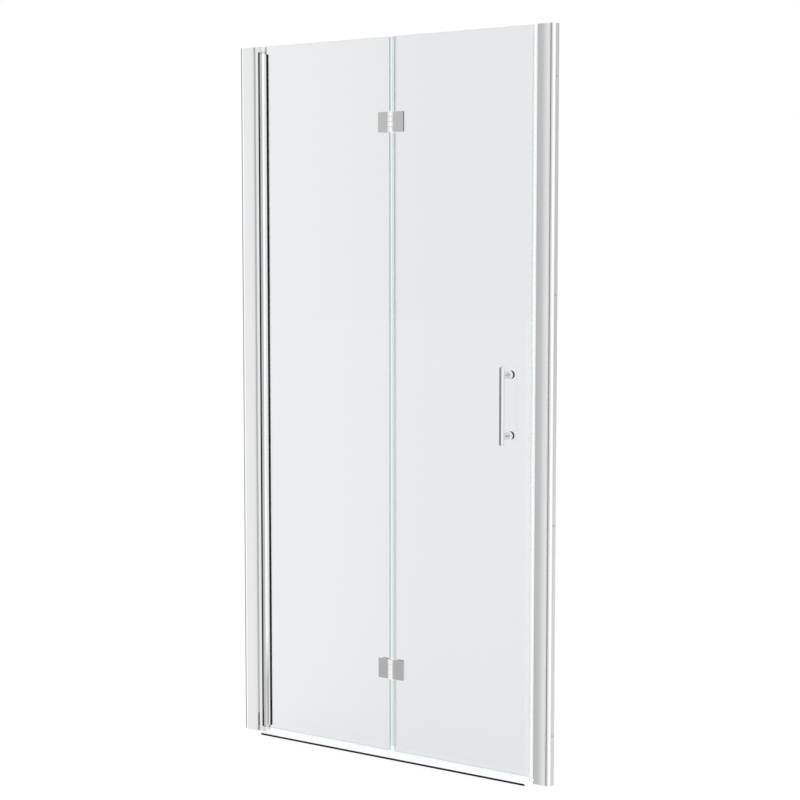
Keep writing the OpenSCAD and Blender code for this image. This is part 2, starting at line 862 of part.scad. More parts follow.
// Holes through the glass for the clamp screws at x
module clamp_holes(x) {
    for (z = clamp_zs) rod_y(x, z, -half_g - over, half_g + over, clamp_hole_r);
}

module glass_pivot() {
    color(glass_tint) difference() {
        span([pane_l0, -half_g, glass_z], [pane_l1, half_g, frame_h]);
        clamp_holes(clamp_l_x);
    }
}

// A drip seal in depth and height: two legs on the glass, a body that narrows downwards
// and a fin that throws the water back into the shower
module drip_section() {
    top = glass_z - leg_gap;
    tip = drip_tip_w / 2;
    root_z = top - 2 * leg_t;
    root_y = tip + (leg_out - tip) * (root_z - drip_z) / (top - drip_z);
    fin_y = leg_out + drip_fin;
    polygon([
        [-leg_out, leg_z1], [-leg_in, leg_z1], [-leg_in, top], [leg_in, top],
        [leg_in, leg_z1], [leg_out, leg_z1], [leg_out, top], [fin_y, drip_z + leg_t],
        [fin_y, drip_z], [fin_y - leg_t, drip_z], [root_y, root_z], [tip, drip_z],
        [-tip, drip_z], [-leg_out, top]
    ]);
}

module drip_seal_pivot() {
    color(clear_vinyl) along_x(gasket_x1 + end_gap, pane_l1 - end_gap) drip_section();
}

// ---------- Hinges ----------

// One front leaf about the height zc. Side is -1 for the pivot pane and 1 for the handle
// pane; first is the lowest knuckle that belongs to it.
module hinge_leaf(side, zc, first, bore_r) {
    z0 = zc - hinge_h / 2;
    plate_x = fold_x + side * (plate_set + plate_w / 2);
    web_x = fold_x + side * plate_set / 2;
    web_y1 = min(fold_y + barrel_r, leaf_y1);
    half_web = plate_set / 2 + eps;
    difference() {
        union() {
            span([plate_x - plate_w / 2, leaf_y0, z0],
                 [plate_x + plate_w / 2, leaf_y1, z0 + hinge_h]);
            for (k = [first : 2 : knuckle_n - 1]) {
                zk = z0 + k * knuckle_pitch;
                translate([fold_x, fold_y, zk]) cylinder(h = knuckle_h, r = barrel_r);
                span([web_x - half_web, leaf_y0, zk], [web_x + half_web, web_y1, zk + knuckle_h]);
            }
        }
        translate([fold_x, fold_y, z0 - over]) cylinder(h = hinge_h + 2 * over, r = bore_r);
        for (s = [-1, 1])
            rod_y(plate_x, zc + s * clamp_pitch / 2, thread_y, leaf_y1 + over,
                  clamp_screw_r + seat_gap);
    }
}

module leaf_pivot(zc) {
    hinge_leaf(-1, zc, 0, hinge_pin_r + seat_gap);
}

module leaf_handle(zc) {
    hinge_leaf(1, zc, 1, hinge_pin_r + run_gap);
}

module hinge_leaf_pivot_top() {
    color(chrome) leaf_pivot(hinge_z_top);
}

module hinge_leaf_pivot_bottom() {
    color(chrome) leaf_pivot(hinge_z_bottom);
}

module hinge_leaf_handle_top() {
    color(chrome) leaf_handle(hinge_z_top);
}

module hinge_leaf_handle_bottom() {
    color(chrome) leaf_handle(hinge_z_bottom);
}

// A clamp plate behind the glass at x, with countersunk holes
module hinge_back(x, zc) {
    difference() {
        span([x - back_w / 2, back_y0, zc - hinge_h / 2],
             [x + back_w / 2, back_y1, zc + hinge_h / 2]);
        for (s = [-1, 1]) {
            z = zc + s * clamp_pitch / 2;
            rod_y(x, z, back_y0 - over, back_y1, clamp_screw_r + clamp_play);
            cone_y(x, z, back_y1 - sink_depth, back_y1 + eps, clamp_screw_r + seat_gap,
                   clamp_head_r + seat_gap + eps);
        }
    }
}

module hinge_back_pivot_top() {
    color(chrome) hinge_back(clamp_l_x, hinge_z_top);
}

module hinge_back_pivot_bottom() {
    color(chrome) hinge_back(clamp_l_x, hinge_z_bottom);
}

module hinge_back_handle_top() {
    color(chrome) hinge_back(clamp_r_x, hinge_z_top);
}

module hinge_back_handle_bottom() {
    color(chrome) hinge_back(clamp_r_x, hinge_z_bottom);
}

module hinge_pin(zc) {
    translate([fold_x, fold_y, zc - hinge_h / 2]) cylinder(h = hinge_h, r = hinge_pin_r);
}

module hinge_pin_top() {
    color(steel) hinge_pin(hinge_z_top);
}

module hinge_pin_bottom() {
    color(steel) hinge_pin(hinge_z_bottom);
}

// Washers between the knuckles of both barrels
module hinge_washers() {
    washer_t = knuckle_gap - 2 * washer_play;
    color(nylon) for (zc = hinge_zs, k = [1 : knuckle_n - 1]) {
        z0 = zc - hinge_h / 2 + k * knuckle_pitch - knuckle_gap + washer_play;
        translate([fold_x, fold_y, z0]) difference() {
            cylinder(h = washer_t, r = barrel_r - washer_inset);
            translate([0, 0, -over])
                cylinder(h = washer_t + 2 * over, r = hinge_pin_r + seat_gap);
        }
    }
}

// Pads on both faces of the glass under the plates at x
module hinge_pads(x) {
    half_front = plate_w / 2 - pad_inset;
    half_back = back_w / 2 - pad_inset;
    half_h = hinge_h / 2 - pad_inset;
    y0 = half_g + seat_gap / 2;
    y1 = back_y0 - seat_gap / 2;
    difference() {
        for (zc = hinge_zs) {
            span([x - half_front, -y1, zc - half_h], [x + half_front, -y0, zc + half_h]);
            span([x - half_back, y0, zc - half_h], [x + half_back, y1, zc + half_h]);
        }
        for (z = clamp_zs) rod_y(x, z, -y1 - over, y1 + over, clamp_screw_r + clamp_play);
    }
}

module hinge_pads_pivot() {
    color(black_rubber) hinge_pads(clamp_l_x);
}

module hinge_pads_handle() {
    color(black_rubber) hinge_pads(clamp_r_x);
}

// Sleeves that centre the clamp screws in the holes of the glass
module hinge_sleeves(x) {
    for (z = clamp_zs) difference() {
        rod_y(x, z, seat_gap - half_g, half_g - seat_gap, clamp_hole_r - seat_gap);
        rod_y(x, z, -half_g - over, half_g + over, clamp_screw_r + seat_gap);
    }
}

module hinge_sleeves_pivot() {
    color(nylon) hinge_sleeves(clamp_l_x);
}

module hinge_sleeves_handle() {
    color(nylon) hinge_sleeves(clamp_r_x);
}

// Countersunk screws from the clamp plates into the leaves, with hexagon sockets
module hinge_screws(x) {
    for (z = clamp_zs) difference() {
        union() {
            rod_y(x, z, thread_y + tip_gap, back_y1 - sink_depth + eps, clamp_screw_r);
            cone_y(x, z, back_y1 - sink_depth, back_y1, clamp_screw_r, clamp_head_r);
        }
        translate([x, back_y1 - key_depth, z]) rotate([-90, 0, 0])
            cylinder(h = key_depth + over, r = key_w / 2 / cos(30), $fn = 6);
    }
}

module hinge_screws_pivot() {
    color(steel) hinge_screws(clamp_l_x);
}

module hinge_screws_handle() {
    color(steel) hinge_screws(clamp_r_x);
}

// ---------- Handle panel ----------

module glass_handle() {
    color(glass_tint) difference() {
        span([pane_r0, -half_g, glass_z], [pane_r1, half_g, frame_h]);
        clamp_holes(clamp_r_x);
        for (z = handle_zs) rod_y(handle_x, z, -half_g - over, half_g + over, handle_hole_r);
    }
}

// The fold seal: legs on the pane, a hollow body and a thin lip across the gap
module fold_seal_section() {
    body_x0 = pane_r0 - fold_body;
    leg_x1 = pane_r0 + fold_leg;
    stop_x = pane_r0 - leg_gap;
    hollow_y = leg_out - leg_t;
    difference() {
        union() {
            span2([body_x0, -leg_out], [leg_x1, leg_out]);
            span2([pane_l1 + end_gap, fold_lip_y], [body_x0 + eps, fold_lip_y + leg_t]);
        }
        span2([stop_x, -leg_in], [leg_x1 + over, leg_in]);
        span2([body_x0 + leg_t, -hollow_y], [stop_x - leg_t, hollow_y]);
    }
}

// The seal comes in three lengths that leave room for the hinges
module fold_seal() {
    half_h = hinge_h / 2 + fold_hinge_gap;
    lengths = [
        [leg_z1 + end_gap, hinge_z_bottom - half_h],
        [hinge_z_bottom + half_h, hinge_z_top - half_h],
        [hinge_z_top + half_h, frame_h]
    ];
    color(clear_vinyl) for (l = lengths)
        translate([0, 0, l[0]]) linear_extrude(l[1] - l[0]) fold_seal_section();
}

module drip_seal_handle() {
    color(clear_vinyl) along_x(pane_r0 + end_gap, pane_r1 - edge_leg - end_gap) drip_section();
}

// The clear carrier on the closing edge: legs on the pane and a head with the strip's slot
module edge_seal_section() {
    head_y = half_magnet - edge_step;
    leg_x0 = pane_r1 - edge_leg;
    difference() {
        union() {
            span2([leg_x0, -leg_out], [pane_r1 + over, leg_out]);
            span2([pane_r1, -head_y], [door_strip_x0, head_y]);
        }
        span2([leg_x0 - over, -leg_in], [pane_r1 + leg_gap, leg_in]);
        translate([door_strip_x0, 0]) mirror([1, 0]) root_slot(0);
    }
}

module edge_seal() {
    color(clear_vinyl) translate([0, 0, drip_z])
        linear_extrude(frame_h - drip_z) edge_seal_section();
}

module door_magnet_seal() {
    color(white_vinyl) translate([0, 0, drip_z]) linear_extrude(frame_h - drip_z) {
        magnet_strip_section(door_strip_x0 + seat_gap, door_strip_x1);
        translate([door_strip_x0, 0]) mirror([1, 0]) root_key(0);
    }
}

module door_magnet_core() {
    color(black_rubber) magnet_band(door_strip_x0 + seat_gap, door_strip_x1, drip_z);
}

module handle_bar() {
    end_z = bar_l / 2 - bar_bevel;
    color(chrome) translate([handle_x, bar_y, handle_z]) difference() {
        union() {
            translate([0, 0, -end_z]) cylinder(h = 2 * end_z, r = bar_r);
            for (side = [0, 1]) mirror([0, 0, side]) translate([0, 0, end_z - eps])
                cylinder(h = bar_bevel, r1 = bar_r, r2 = bar_r - bar_bevel);
        }
        for (side = [-1, 1])
            rod_y(0, side * handle_pitch / 2, 0, bar_r + over, grub_r + seat_gap);
    }
}

// Posts with a saddle for the bar and a thread for the stud
module handle_posts() {
    color(chrome) for (z = handle_zs) difference() {
        rod_y(handle_x, z, bar_y + saddle_set, flange_y0, stem_r);
        translate([handle_x, bar_y, z - stem_r - over])
            cylinder(h = 2 * (stem_r + over), r = bar_r + seat_gap);
        rod_y(handle_x, z, bar_y, flange_y0 + over, stud_r + seat_gap);
    }
}

module handle_flanges() {
    color(chrome) for (z = handle_zs) difference() {
        union() {
            rod_y(handle_x, z, flange_y0 + flange_bevel, flange_y1, flange_r);
            cone_y(handle_x, z, flange_y0, flange_y0 + flange_bevel + eps,
                   flange_r - flange_bevel, flange_r);
        }
        rod_y(handle_x, z, flange_y0 - over, flange_y1 + over, stud_r + seat_gap);
    }
}

// Clear washers under the flanges, each with the bush that lines its hole
module handle_spacers() {
    y1 = -half_g - seat_gap / 2;
    color(nylon) for (z = handle_zs) difference() {
        union() {
            rod_y(handle_x, z, flange_y1 + seat_gap / 2, y1, flange_r - spacer_inset);
            rod_y(handle_x, z, y1 - eps, half_g - seat_gap, handle_hole_r - seat_gap);
        }
        rod_y(handle_x, z, flange_y1 - over, half_g + over, stud_r + seat_gap);
    }
}

// Black rings between the glass and the rear caps
module handle_rings() {
    color(black_rubber) for (z = handle_zs) difference() {
        rod_y(handle_x, z, half_g + seat_gap / 2, rear_y0 - seat_gap / 2, flange_r);
        rod_y(handle_x, z, half_g - over, rear_y0 + over, stud_r + seat_gap);
    }
}

module handle_studs() {
    color(steel) for (z = handle_zs) rod_y(handle_x, z, bar_y + stud_set, stud_y1, stud_r);
}

module handle_caps() {
    bevel_y = rear_y1 - rear_bevel;
    color(chrome) for (z = handle_zs) difference() {
        union() {
            rod_y(handle_x, z, rear_y0, bevel_y, rear_r);
            cone_y(handle_x, z, bevel_y - eps, rear_y1, rear_r, rear_r - rear_bevel);
        }
        rod_y(handle_x, z, rear_y0 - over, stud_y1 + seat_gap, stud_r + seat_gap);
    }
}

module handle_grub_screws() {
    grub_y0 = bar_y + grub_set;
    color(steel) for (z = handle_zs) rod_y(handle_x, z, grub_y0, grub_y0 + grub_l, grub_r);
}

wall_channel_left();
wall_channel_right();
jamb_pivot();
jamb_magnet();
channel_caps();
adjusting_screws();
screw_covers();
pivot_block_top();
pivot_block_bottom();
pivot_bush_top();
pivot_bush_bottom();
block_screws();
jamb_magnet_seal();
jamb_magnet_core();
sill();
sill_cap_left();
sill_cap_right();
sill_gasket();
pivot_post();
post_plug_top();
post_plug_bottom();
pivot_pin_top();
pivot_pin_bottom();
glazing_gasket();
glazing_bead();
glass_bed();
glass_pivot();
drip_seal_pivot();
hinge_leaf_pivot_top();
hinge_leaf_pivot_bottom();
hinge_back_pivot_top();
hinge_back_pivot_bottom();
hinge_pin_top();
hinge_pin_bottom();
hinge_washers();
hinge_pads_pivot();
hinge_sleeves_pivot();
hinge_screws_pivot();
glass_handle();
fold_seal();
drip_seal_handle();
edge_seal();
door_magnet_seal();
door_magnet_core();
hinge_leaf_handle_top();
hinge_leaf_handle_bottom();
hinge_back_handle_top();
hinge_back_handle_bottom();
hinge_pads_handle();
hinge_sleeves_handle();
hinge_screws_handle();
handle_bar();
handle_posts();
handle_flanges();
handle_rings();
handle_spacers();
handle_studs();
handle_caps();
handle_grub_screws();
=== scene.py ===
"""Bifold shower door for an opening between two walls, dressed and set in a plain white studio.

X runs along the door, Y points into the shower and Z is up, all in metres.
"""

import json
import math

import bmesh
import bpy
import numpy as np
from bpy.props import FloatProperty, FloatVectorProperty, IntProperty, PointerProperty
from mathutils.geometry import tessellate_polygon
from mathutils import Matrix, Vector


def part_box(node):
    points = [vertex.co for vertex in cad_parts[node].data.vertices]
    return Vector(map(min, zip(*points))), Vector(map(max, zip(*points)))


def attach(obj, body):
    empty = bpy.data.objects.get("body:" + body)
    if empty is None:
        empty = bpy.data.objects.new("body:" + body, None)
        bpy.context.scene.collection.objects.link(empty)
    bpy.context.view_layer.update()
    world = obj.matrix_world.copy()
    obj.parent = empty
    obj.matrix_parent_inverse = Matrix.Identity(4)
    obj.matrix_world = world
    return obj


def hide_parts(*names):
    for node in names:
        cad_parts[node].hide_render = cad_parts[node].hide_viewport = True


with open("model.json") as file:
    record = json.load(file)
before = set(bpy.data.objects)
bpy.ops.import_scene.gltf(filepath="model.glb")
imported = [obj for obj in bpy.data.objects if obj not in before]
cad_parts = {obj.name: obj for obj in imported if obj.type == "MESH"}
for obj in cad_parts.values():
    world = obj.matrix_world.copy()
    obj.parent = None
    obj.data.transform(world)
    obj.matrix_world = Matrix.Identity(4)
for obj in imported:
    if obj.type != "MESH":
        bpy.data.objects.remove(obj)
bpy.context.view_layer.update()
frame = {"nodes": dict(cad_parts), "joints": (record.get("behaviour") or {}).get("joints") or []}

bl_info = {
    "name": "Bifold Shower Door",
    "version": (1, 0, 0),
    "blender": (4, 5, 0),
    "location": "View3D > Sidebar > Shower Door",
    "description": "Builds the finished pieces of a bifold shower door and its studio",
    "category": "Object",
}

MM = 0.001


# ---------- Surfaces ----------

def grid_quads(rows, cols, wrap_rows=False, wrap_cols=True):
    """Quads between neighbouring rows and columns; a wrapped side also joins last to first."""
    r = np.arange(rows if wrap_rows else rows - 1)[:, None]
    c = np.arange(cols if wrap_cols else cols - 1)[None, :]
    r1, c1 = (r + 1) % rows, (c + 1) % cols
    quads = np.stack(np.broadcast_arrays(
        r * cols + c, r * cols + c1, r1 * cols + c1, r1 * cols + c), axis=-1)
    return quads.reshape(-1, 4)


def turns(before, after):
    """The angle from each run of a path to the next, positive to the left."""
    return np.arctan2(before[:, 0] * after[:, 1] - before[:, 1] * after[:, 0],
                      (before * after).sum(axis=1))


def softened(corners, radius, steps=5):
    """A closed outline whose corners are rounded: at each corner that turns by more than 25
    degrees, an arc with its centre on the corner's bisector, tangent to both sides and never
    longer than the sides allow. The material lies on the outline's left. Returns the points
    and their outward normals."""
    p = np.asarray(corners, float)
    before = p - np.roll(p, 1, axis=0)
    after = np.roll(p, -1, axis=0) - p
    long_before = np.linalg.norm(before, axis=1)
    long_after = np.linalg.norm(after, axis=1)
    before /= long_before[:, None]
    after /= long_after[:, None]
    turn = turns(before, after)
    side = np.where(turn < 0, -1.0, 1.0)
    bend = np.abs(turn) > math.radians(25)
    slope = np.tan(np.abs(turn) / 2)
    room = 0.45 * np.minimum(long_before, long_after) / np.maximum(slope, 1e-9)
    r = np.where(bend, np.minimum(radius, room), 0.0)
    left = np.stack([-before[:, 1], before[:, 0]], axis=1)
    centre = p - before * (r * slope)[:, None] + left * (side * r)[:, None]
    start = np.arctan2(-left[:, 1] * side, -left[:, 0] * side)[:, None]
    a = start + turn[:, None] * np.linspace(0, 1, steps)[None, :]
    spoke = np.stack([np.cos(a), np.sin(a)], axis=-1)
    points = centre[:, None, :] + spoke * r[:, None, None]
    keep = bend[:, None] | (np.arange(steps) == steps // 2)[None, :]
    return points[keep], (spoke * side[:, None, None])[keep]


def extruded(outlines, h0, h1, edge=0.0, steps=4):
    """One or more outlines carried together from h0 to h1. Near each end they move inwards
    along their normals as a quarter circle of radius edge, and flat faces close the ends."""
    a = np.linspace(0, np.pi / 2, steps if edge > 0 else 1)
    inset, rise = edge * (1 - np.sin(a)), edge * (1 - np.cos(a))
    inset = np.concatenate([inset, inset[::-1]])
    height = np.concatenate([h0 + rise, h1 - rise[::-1]])
    points, faces, first, last, ends, base = [], [], [], [], [], 0
    for outline, normals in outlines:
        flat = outline[None] - normals[None] * inset[:, None, None]
        lift = np.broadcast_to(height[:, None, None], flat.shape[:2] + (1,))
        n = len(outline)
        points.append(np.concatenate([flat, lift], axis=2).reshape(-1, 3))
        faces += (grid_quads(len(height), n) + base).tolist()
        first.append(base + np.arange(n))
        last.append(base + (len(height) - 1) * n + np.arange(n))
        ends.append([(x, y, 0) for x, y in flat[0]])
        base += len(height) * n
    cap = np.array(tessellate_polygon(ends))
    faces += np.concatenate(first)[cap].tolist() + np.concatenate(last)[cap][:, ::-1].tolist()
    return np.concatenate(points), faces


def turned(profile, segments=72):
    """A profile of (radius, height) pairs turned about the height axis: each pair becomes a
    ring of points (r cos a, r sin a, h). A pair on the axis becomes a pole."""
    profile = np.asarray(profile, float)
    a = np.linspace(0, 2 * np.pi, segments, endpoint=False)
    r, h = profile[:, 0, None], profile[:, 1, None]
    ring = np.stack(np.broadcast_arrays(r * np.cos(a), r * np.sin(a), h), axis=-1)
    return ring.reshape(-1, 3), grid_quads(len(profile), segments).tolist()


def filleted(profile, radii, steps=6):
    """A profile whose inner corners are arcs tangent to both neighbouring runs; the first and
    last points stay."""
    p = np.asarray(profile, float)
    radii = np.asarray(radii, float)
    mid, r = p[1:-1], radii[:, None]
    before = mid - p[:-2]
    after = p[2:] - mid
    before /= np.linalg.norm(before, axis=1)[:, None]
    after /= np.linalg.norm(after, axis=1)[:, None]
    turn = turns(before, after)
    side = np.where(turn >= 0, 1.0, -1.0)
    left = np.stack([-before[:, 1], before[:, 0]], axis=1)
    centre = mid - before * r * np.tan(np.abs(turn) / 2)[:, None] + left * side[:, None] * r
    start = np.arctan2(-left[:, 1] * side, -left[:, 0] * side)[:, None]
    a = start + turn[:, None] * np.linspace(0, 1, steps)[None, :]
    arc = centre[:, None, :] + np.stack([np.cos(a), np.sin(a)], axis=-1) * r[:, :, None]
    return np.concatenate([p[:1], arc.reshape(-1, 2), p[-1:]])


AXES = {
    "x": np.array([[0, 1, 0], [0, 0, 1], [1, 0, 0]], float),
    "y": np.array([[0, 0, 1], [1, 0, 0], [0, 1, 0]], float),
    "z": np.eye(3),
}


def placed(shell, axis="z", at=(0, 0, 0)):
    """A shell with its height axis laid along the named axis and its origin moved to a point."""
    points, faces = shell
    return points @ AXES[axis] + np.asarray(at, float), faces


def make_mesh(name, shells, crease=40):
    """Joins shells of (points, faces) in one mesh, merges seams and poles, turns every face
    outwards and shades it smoothly."""
    points, faces, base = [], [], 0
    for p, f in shells:
        points.append(p)
        faces += [[i + base for i in face] for face in f]
        base += len(p)
    mesh = bpy.data.meshes.new(name)
    mesh.from_pydata(np.concatenate(points).tolist(), [], faces)
    bm = bmesh.new()
    bm.from_mesh(mesh)
    bmesh.ops.remove_doubles(bm, verts=bm.verts, dist=1e-7)
    bmesh.ops.dissolve_degenerate(bm, edges=bm.edges, dist=1e-8)
    bmesh.ops.recalc_face_normals(bm, faces=bm.faces)
    bm.to_mesh(mesh)
    bm.free()
    smooth(mesh, crease)
    return mesh


def smooth(mesh, crease):
    """Each face corner's normal is the mean, weighted by area, of the faces round its point
    that lie within the crease angle of its own face. Flat faces stay flat beside arcs."""
    sides = np.zeros(len(mesh.polygons), np.int32)
    areas = np.zeros(len(mesh.polygons))
    normals = np.zeros(len(mesh.polygons) * 3)
    at = np.zeros(len(mesh.loops), np.int32)
    mesh.polygons.foreach_get("loop_total", sides)
    mesh.polygons.foreach_get("area", areas)
    mesh.polygons.foreach_get("normal", normals)
    mesh.loops.foreach_get("vertex_index", at)
    own = np.repeat(np.arange(len(sides)), sides)
    order = np.argsort(at, kind="stable")
    at, face = at[order], own[order]
    n, weight = normals.reshape(-1, 3)[face], areas[face][:, None]
    total = n * weight
    limit = math.cos(math.radians(crease))
    for step in range(1, int(np.bincount(at).max())):
        a = np.nonzero(at[step:] == at[:-step])[0]
        b = a + step
        near = (n[a] * n[b]).sum(axis=1) > limit
        a, b = a[near], b[near]
        np.add.at(total, a, n[b] * weight[b])
        np.add.at(total, b, n[a] * weight[a])
    total /= np.maximum(np.linalg.norm(total, axis=1), 1e-30)[:, None]
    corner = np.zeros_like(total)
    corner[order] = total
    mesh.polygons.foreach_set("use_smooth", np.ones(len(sides), bool))
    mesh.normals_split_custom_set(corner.tolist())
    mesh.update()


def add_piece(name, mesh, finishes, body, replaces=()):
    """Links a mesh as a piece of the door that moves with a body."""
    piece = bpy.data.objects.new(name, mesh)
    bpy.context.scene.collection.objects.link(piece)
    for finish in finishes if isinstance(finishes, (list, tuple)) else [finishes]:
        mesh.materials.append(finish)
    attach(piece, body)
    if replaces:
        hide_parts(*([replaces] if isinstance(replaces, str) else replaces))
    return piece


def dress(names, finish):
    """Gives carried-over nodes a finish."""
    for name in names:
        node = frame["nodes"][name]
        node.data.materials.clear()
        node.data.materials.append(finish)


def span_of(node):
    """Lowest and highest corner of a node as arrays."""
    low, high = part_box(node)
    return np.array(low), np.array(high)


def solids(node):
    """The separate solids of a node, each as its points and its triangles. Points share a
    label with their neighbours until no label changes."""
    bm = bmesh.new()
    bm.from_mesh(frame["nodes"][node].data)
    bmesh.ops.remove_doubles(bm, verts=bm.verts, dist=1e-6)
    bmesh.ops.triangulate(bm, faces=bm.faces)
    merged = bpy.data.meshes.new("merged")
    bm.to_mesh(merged)
    bm.free()
    points = np.zeros(len(merged.vertices) * 3)
    faces = np.zeros(len(merged.polygons) * 3, np.int32)
    merged.vertices.foreach_get("co", points)
    merged.loops.foreach_get("vertex_index", faces)
    bpy.data.meshes.remove(merged)
    points, faces = points.reshape(-1, 3), faces.reshape(-1, 3)
    label, old = np.arange(len(points)), None
    while old is None or (label != old).any():
        old = label.copy()
        np.minimum.at(label, faces.ravel(), label[faces].min(axis=1).repeat(3))
    return [(points, faces[label[faces[:, 0]] == k], points[label == k])
            for k in np.unique(label)]


def sections(node, axis, end=0, beyond=-np.inf):
    """For each extruded solid of a node: its lowest and highest place along the axis, and the
    closed outlines of its low (0) or high (1) end with the material on their left. Where only
    the part beyond some place counts, its own end does."""
    found = []
    for points, faces, own in solids(node):
        local = points @ AXES[axis].T
        own = own @ AXES[axis].T
        h = own[own[:, 0] > beyond + 1e-5, 2]
        level = (h.min(), h.max())[end]
        cap = faces[(np.abs(local[faces][:, :, 2] - level) < 1e-6).all(axis=1)]
        a, b = cap.ravel(), np.roll(cap, -1, axis=1).ravel()
        rim = ~np.isin(a * len(points) + b, b * len(points) + a)
        following = dict(zip(a[rim].tolist(), b[rim].tolist()))
        loops = []
        while following:
            here, loop = next(iter(following)), []
            while here in following:
                loop.append(here)
                here = following.pop(here)
            loops.append(local[loop if end else loop[::-1], :2])
        found.append((h.min(), h.max(), loops))
    return found


def profile_piece(name, node, axis, radius, body, finishes, edge=0.0, end=0,
                  reshape=None, pick=None, more=()):
    """An extruded node made again with rounded corners, joined with any more shells. A reshape
    moves the outlines, and a pick of finishes gives each face, from its middle and normal, the
    number of its finish."""
    shells = list(more)
    for h0, h1, loops in sections(node, axis, end):
        outlines = [softened(loop, radius) for loop in loops]
        if reshape:
            outlines = [reshape(*outline) for outline in outlines]
        shells.append(placed(extruded(outlines, h0, h1, edge), axis))
    mesh = make_mesh(name, shells)
    piece = add_piece(name, mesh, finishes, body, node)
    if pick:
        middle = np.zeros(len(mesh.polygons) * 3)
        normal = np.zeros(len(mesh.polygons) * 3)
        mesh.polygons.foreach_get("center", middle)
        mesh.polygons.foreach_get("normal", normal)
        number = pick(middle.reshape(-1, 3), normal.reshape(-1, 3))
        mesh.polygons.foreach_set("material_index", number.astype(np.int32))
    return piece


# ---------- Finishes ----------

# Stretch of the drawn lines of a metal: up a profile, along the sill, down a hinge, or none.
DRAWN_UP = (1, 1, 0.004)
DRAWN_ALONG = (0.004, 1, 1)
BRUSHED = (1, 1, 0.03)
EVEN = (1, 1, 1)
GRAIN = 900.0
POLISH_GRAIN = 700.0
HINGE_GRAIN = 1600.0
LINE_DEPTH = 0.02 * MM
GRAIN_DEPTH = 0.04 * MM

# Bands of painted shade on a metal: the middle and half the width, in metres.
STEP_FOOT_SHADE = (0.0, 0.05)
ARM_SHADE_BAND = (-0.4032, 0.0033)
MAGNET_SEAM_SHADE = (0.4689, 0.0019)
CHANNEL_SIDE_SHADE = (0.48, 0.00004)
BAR_DARK_REFLECTION = (0.3536, 0.0043)

# Where a painted shade begins and ends its change, in metres.
ARM_SHADE_BAND_HEIGHTS = (0.14, 0.27)
HINGE_SHADE_HEIGHTS = (0.3, 1.5)
GLASS_SHADE_FADE = (-0.40, 0.12)


def new_finish(name, **sockets):
    """A material with one Principled shader; a socket's spaces are written as underscores."""
    old = bpy.data.materials.get(name)
    if old:
        bpy.data.materials.remove(old)
    material = bpy.data.materials.new(name)
    material.use_nodes = True
    shader = material.node_tree.nodes["Principled BSDF"]
    for socket, value in sockets.items():
        socket = socket.replace("_", " ")
        shader.inputs[socket].default_value = (*value, 1) if isinstance(value, tuple) else value
    return material, material.node_tree, shader


def object_place(tree, scale=(1, 1, 1)):
    """Object coordinates, stretched by a scale along each axis."""
    place = tree.nodes.new("ShaderNodeTexCoord")
    mapping = tree.nodes.new("ShaderNodeMapping")
    mapping.inputs["Scale"].default_value = scale
    tree.links.new(place.outputs["Object"], mapping.inputs["Vector"])
    return mapping.outputs["Vector"]


def noise(tree, scale, stretch=(1, 1, 1), detail=4.0, roughness=0.55):
    texture = tree.nodes.new("ShaderNodeTexNoise")
    texture.inputs["Scale"].default_value = scale
    texture.inputs["Detail"].default_value = detail
    texture.inputs["Roughness"].default_value = roughness
    tree.links.new(object_place(tree, stretch), texture.inputs["Vector"])
    return texture.outputs["Fac"]


def ranged(tree, value, low, high, start=0.3, end=0.7):
    """The value's run from start to end laid over low to high."""
    node = tree.nodes.new("ShaderNodeMapRange")
    node.inputs["From Min"].default_value = start
    node.inputs["From Max"].default_value = end
    node.inputs["To Min"].default_value = low
    node.inputs["To Max"].default_value = high
    tree.links.new(value, node.inputs["Value"])
    return node.outputs["Result"]


def worked(tree, operation, *values):
    """The result of a Math node; each value is a number or a socket."""
    node = tree.nodes.new("ShaderNodeMath")
    node.operation = operation
    for socket, value in zip(node.inputs, values):
        if isinstance(value, (int, float)):
            socket.default_value = value
        else:
            tree.links.new(value, socket)
    return node.outputs["Value"]


def blended(tree, factor, first, second):
    """What goes from the first to the second with the factor; each is a colour or a socket."""
    node = tree.nodes.new("ShaderNodeMix")
    node.data_type = "RGBA"
    for name, value in (("A", first), ("B", second)):
        if isinstance(value, tuple):
            node.inputs[name].default_value = (*value, 1)
        else:
            tree.links.new(value, node.inputs[name])
    tree.links.new(factor, node.inputs["Factor"])
    return node.outputs["Result"]


def bumped(tree, shader, height, strength, distance):
    node = tree.nodes.new("ShaderNodeBump")
    node.inputs["Strength"].default_value = strength
    node.inputs["Distance"].default_value = distance
    tree.links.new(height, node.inputs["Height"])
    tree.links.new(node.outputs["Normal"], shader.inputs["Normal"])


def shade(colour, factor):
    return tuple(min(1.0, c * factor) for c in colour)


def metal_finish(name, colour, rough_low, rough_high, grain, stretch, bump, **sockets):
    """Polished or satin metal: a colour that drifts slightly over the piece, a roughness that
    follows fine drawn lines, and the same lines as a very shallow bump."""
    colour = tuple(colour)
    material, tree, shader = new_finish(name, **{"Metallic": 1.0, **sockets})
    drift = noise(tree, 9.0, (1, 1, 0.35), detail=3)
    tree.links.new(blended(tree, drift, shade(colour, 0.985), shade(colour, 1.015)),
                   shader.inputs["Base Color"])
    lines = noise(tree, grain, stretch, detail=6)
    tree.links.new(ranged(tree, lines, rough_low, rough_high), shader.inputs["Roughness"])
    bumped(tree, shader, lines, bump, LINE_DEPTH)
    return material


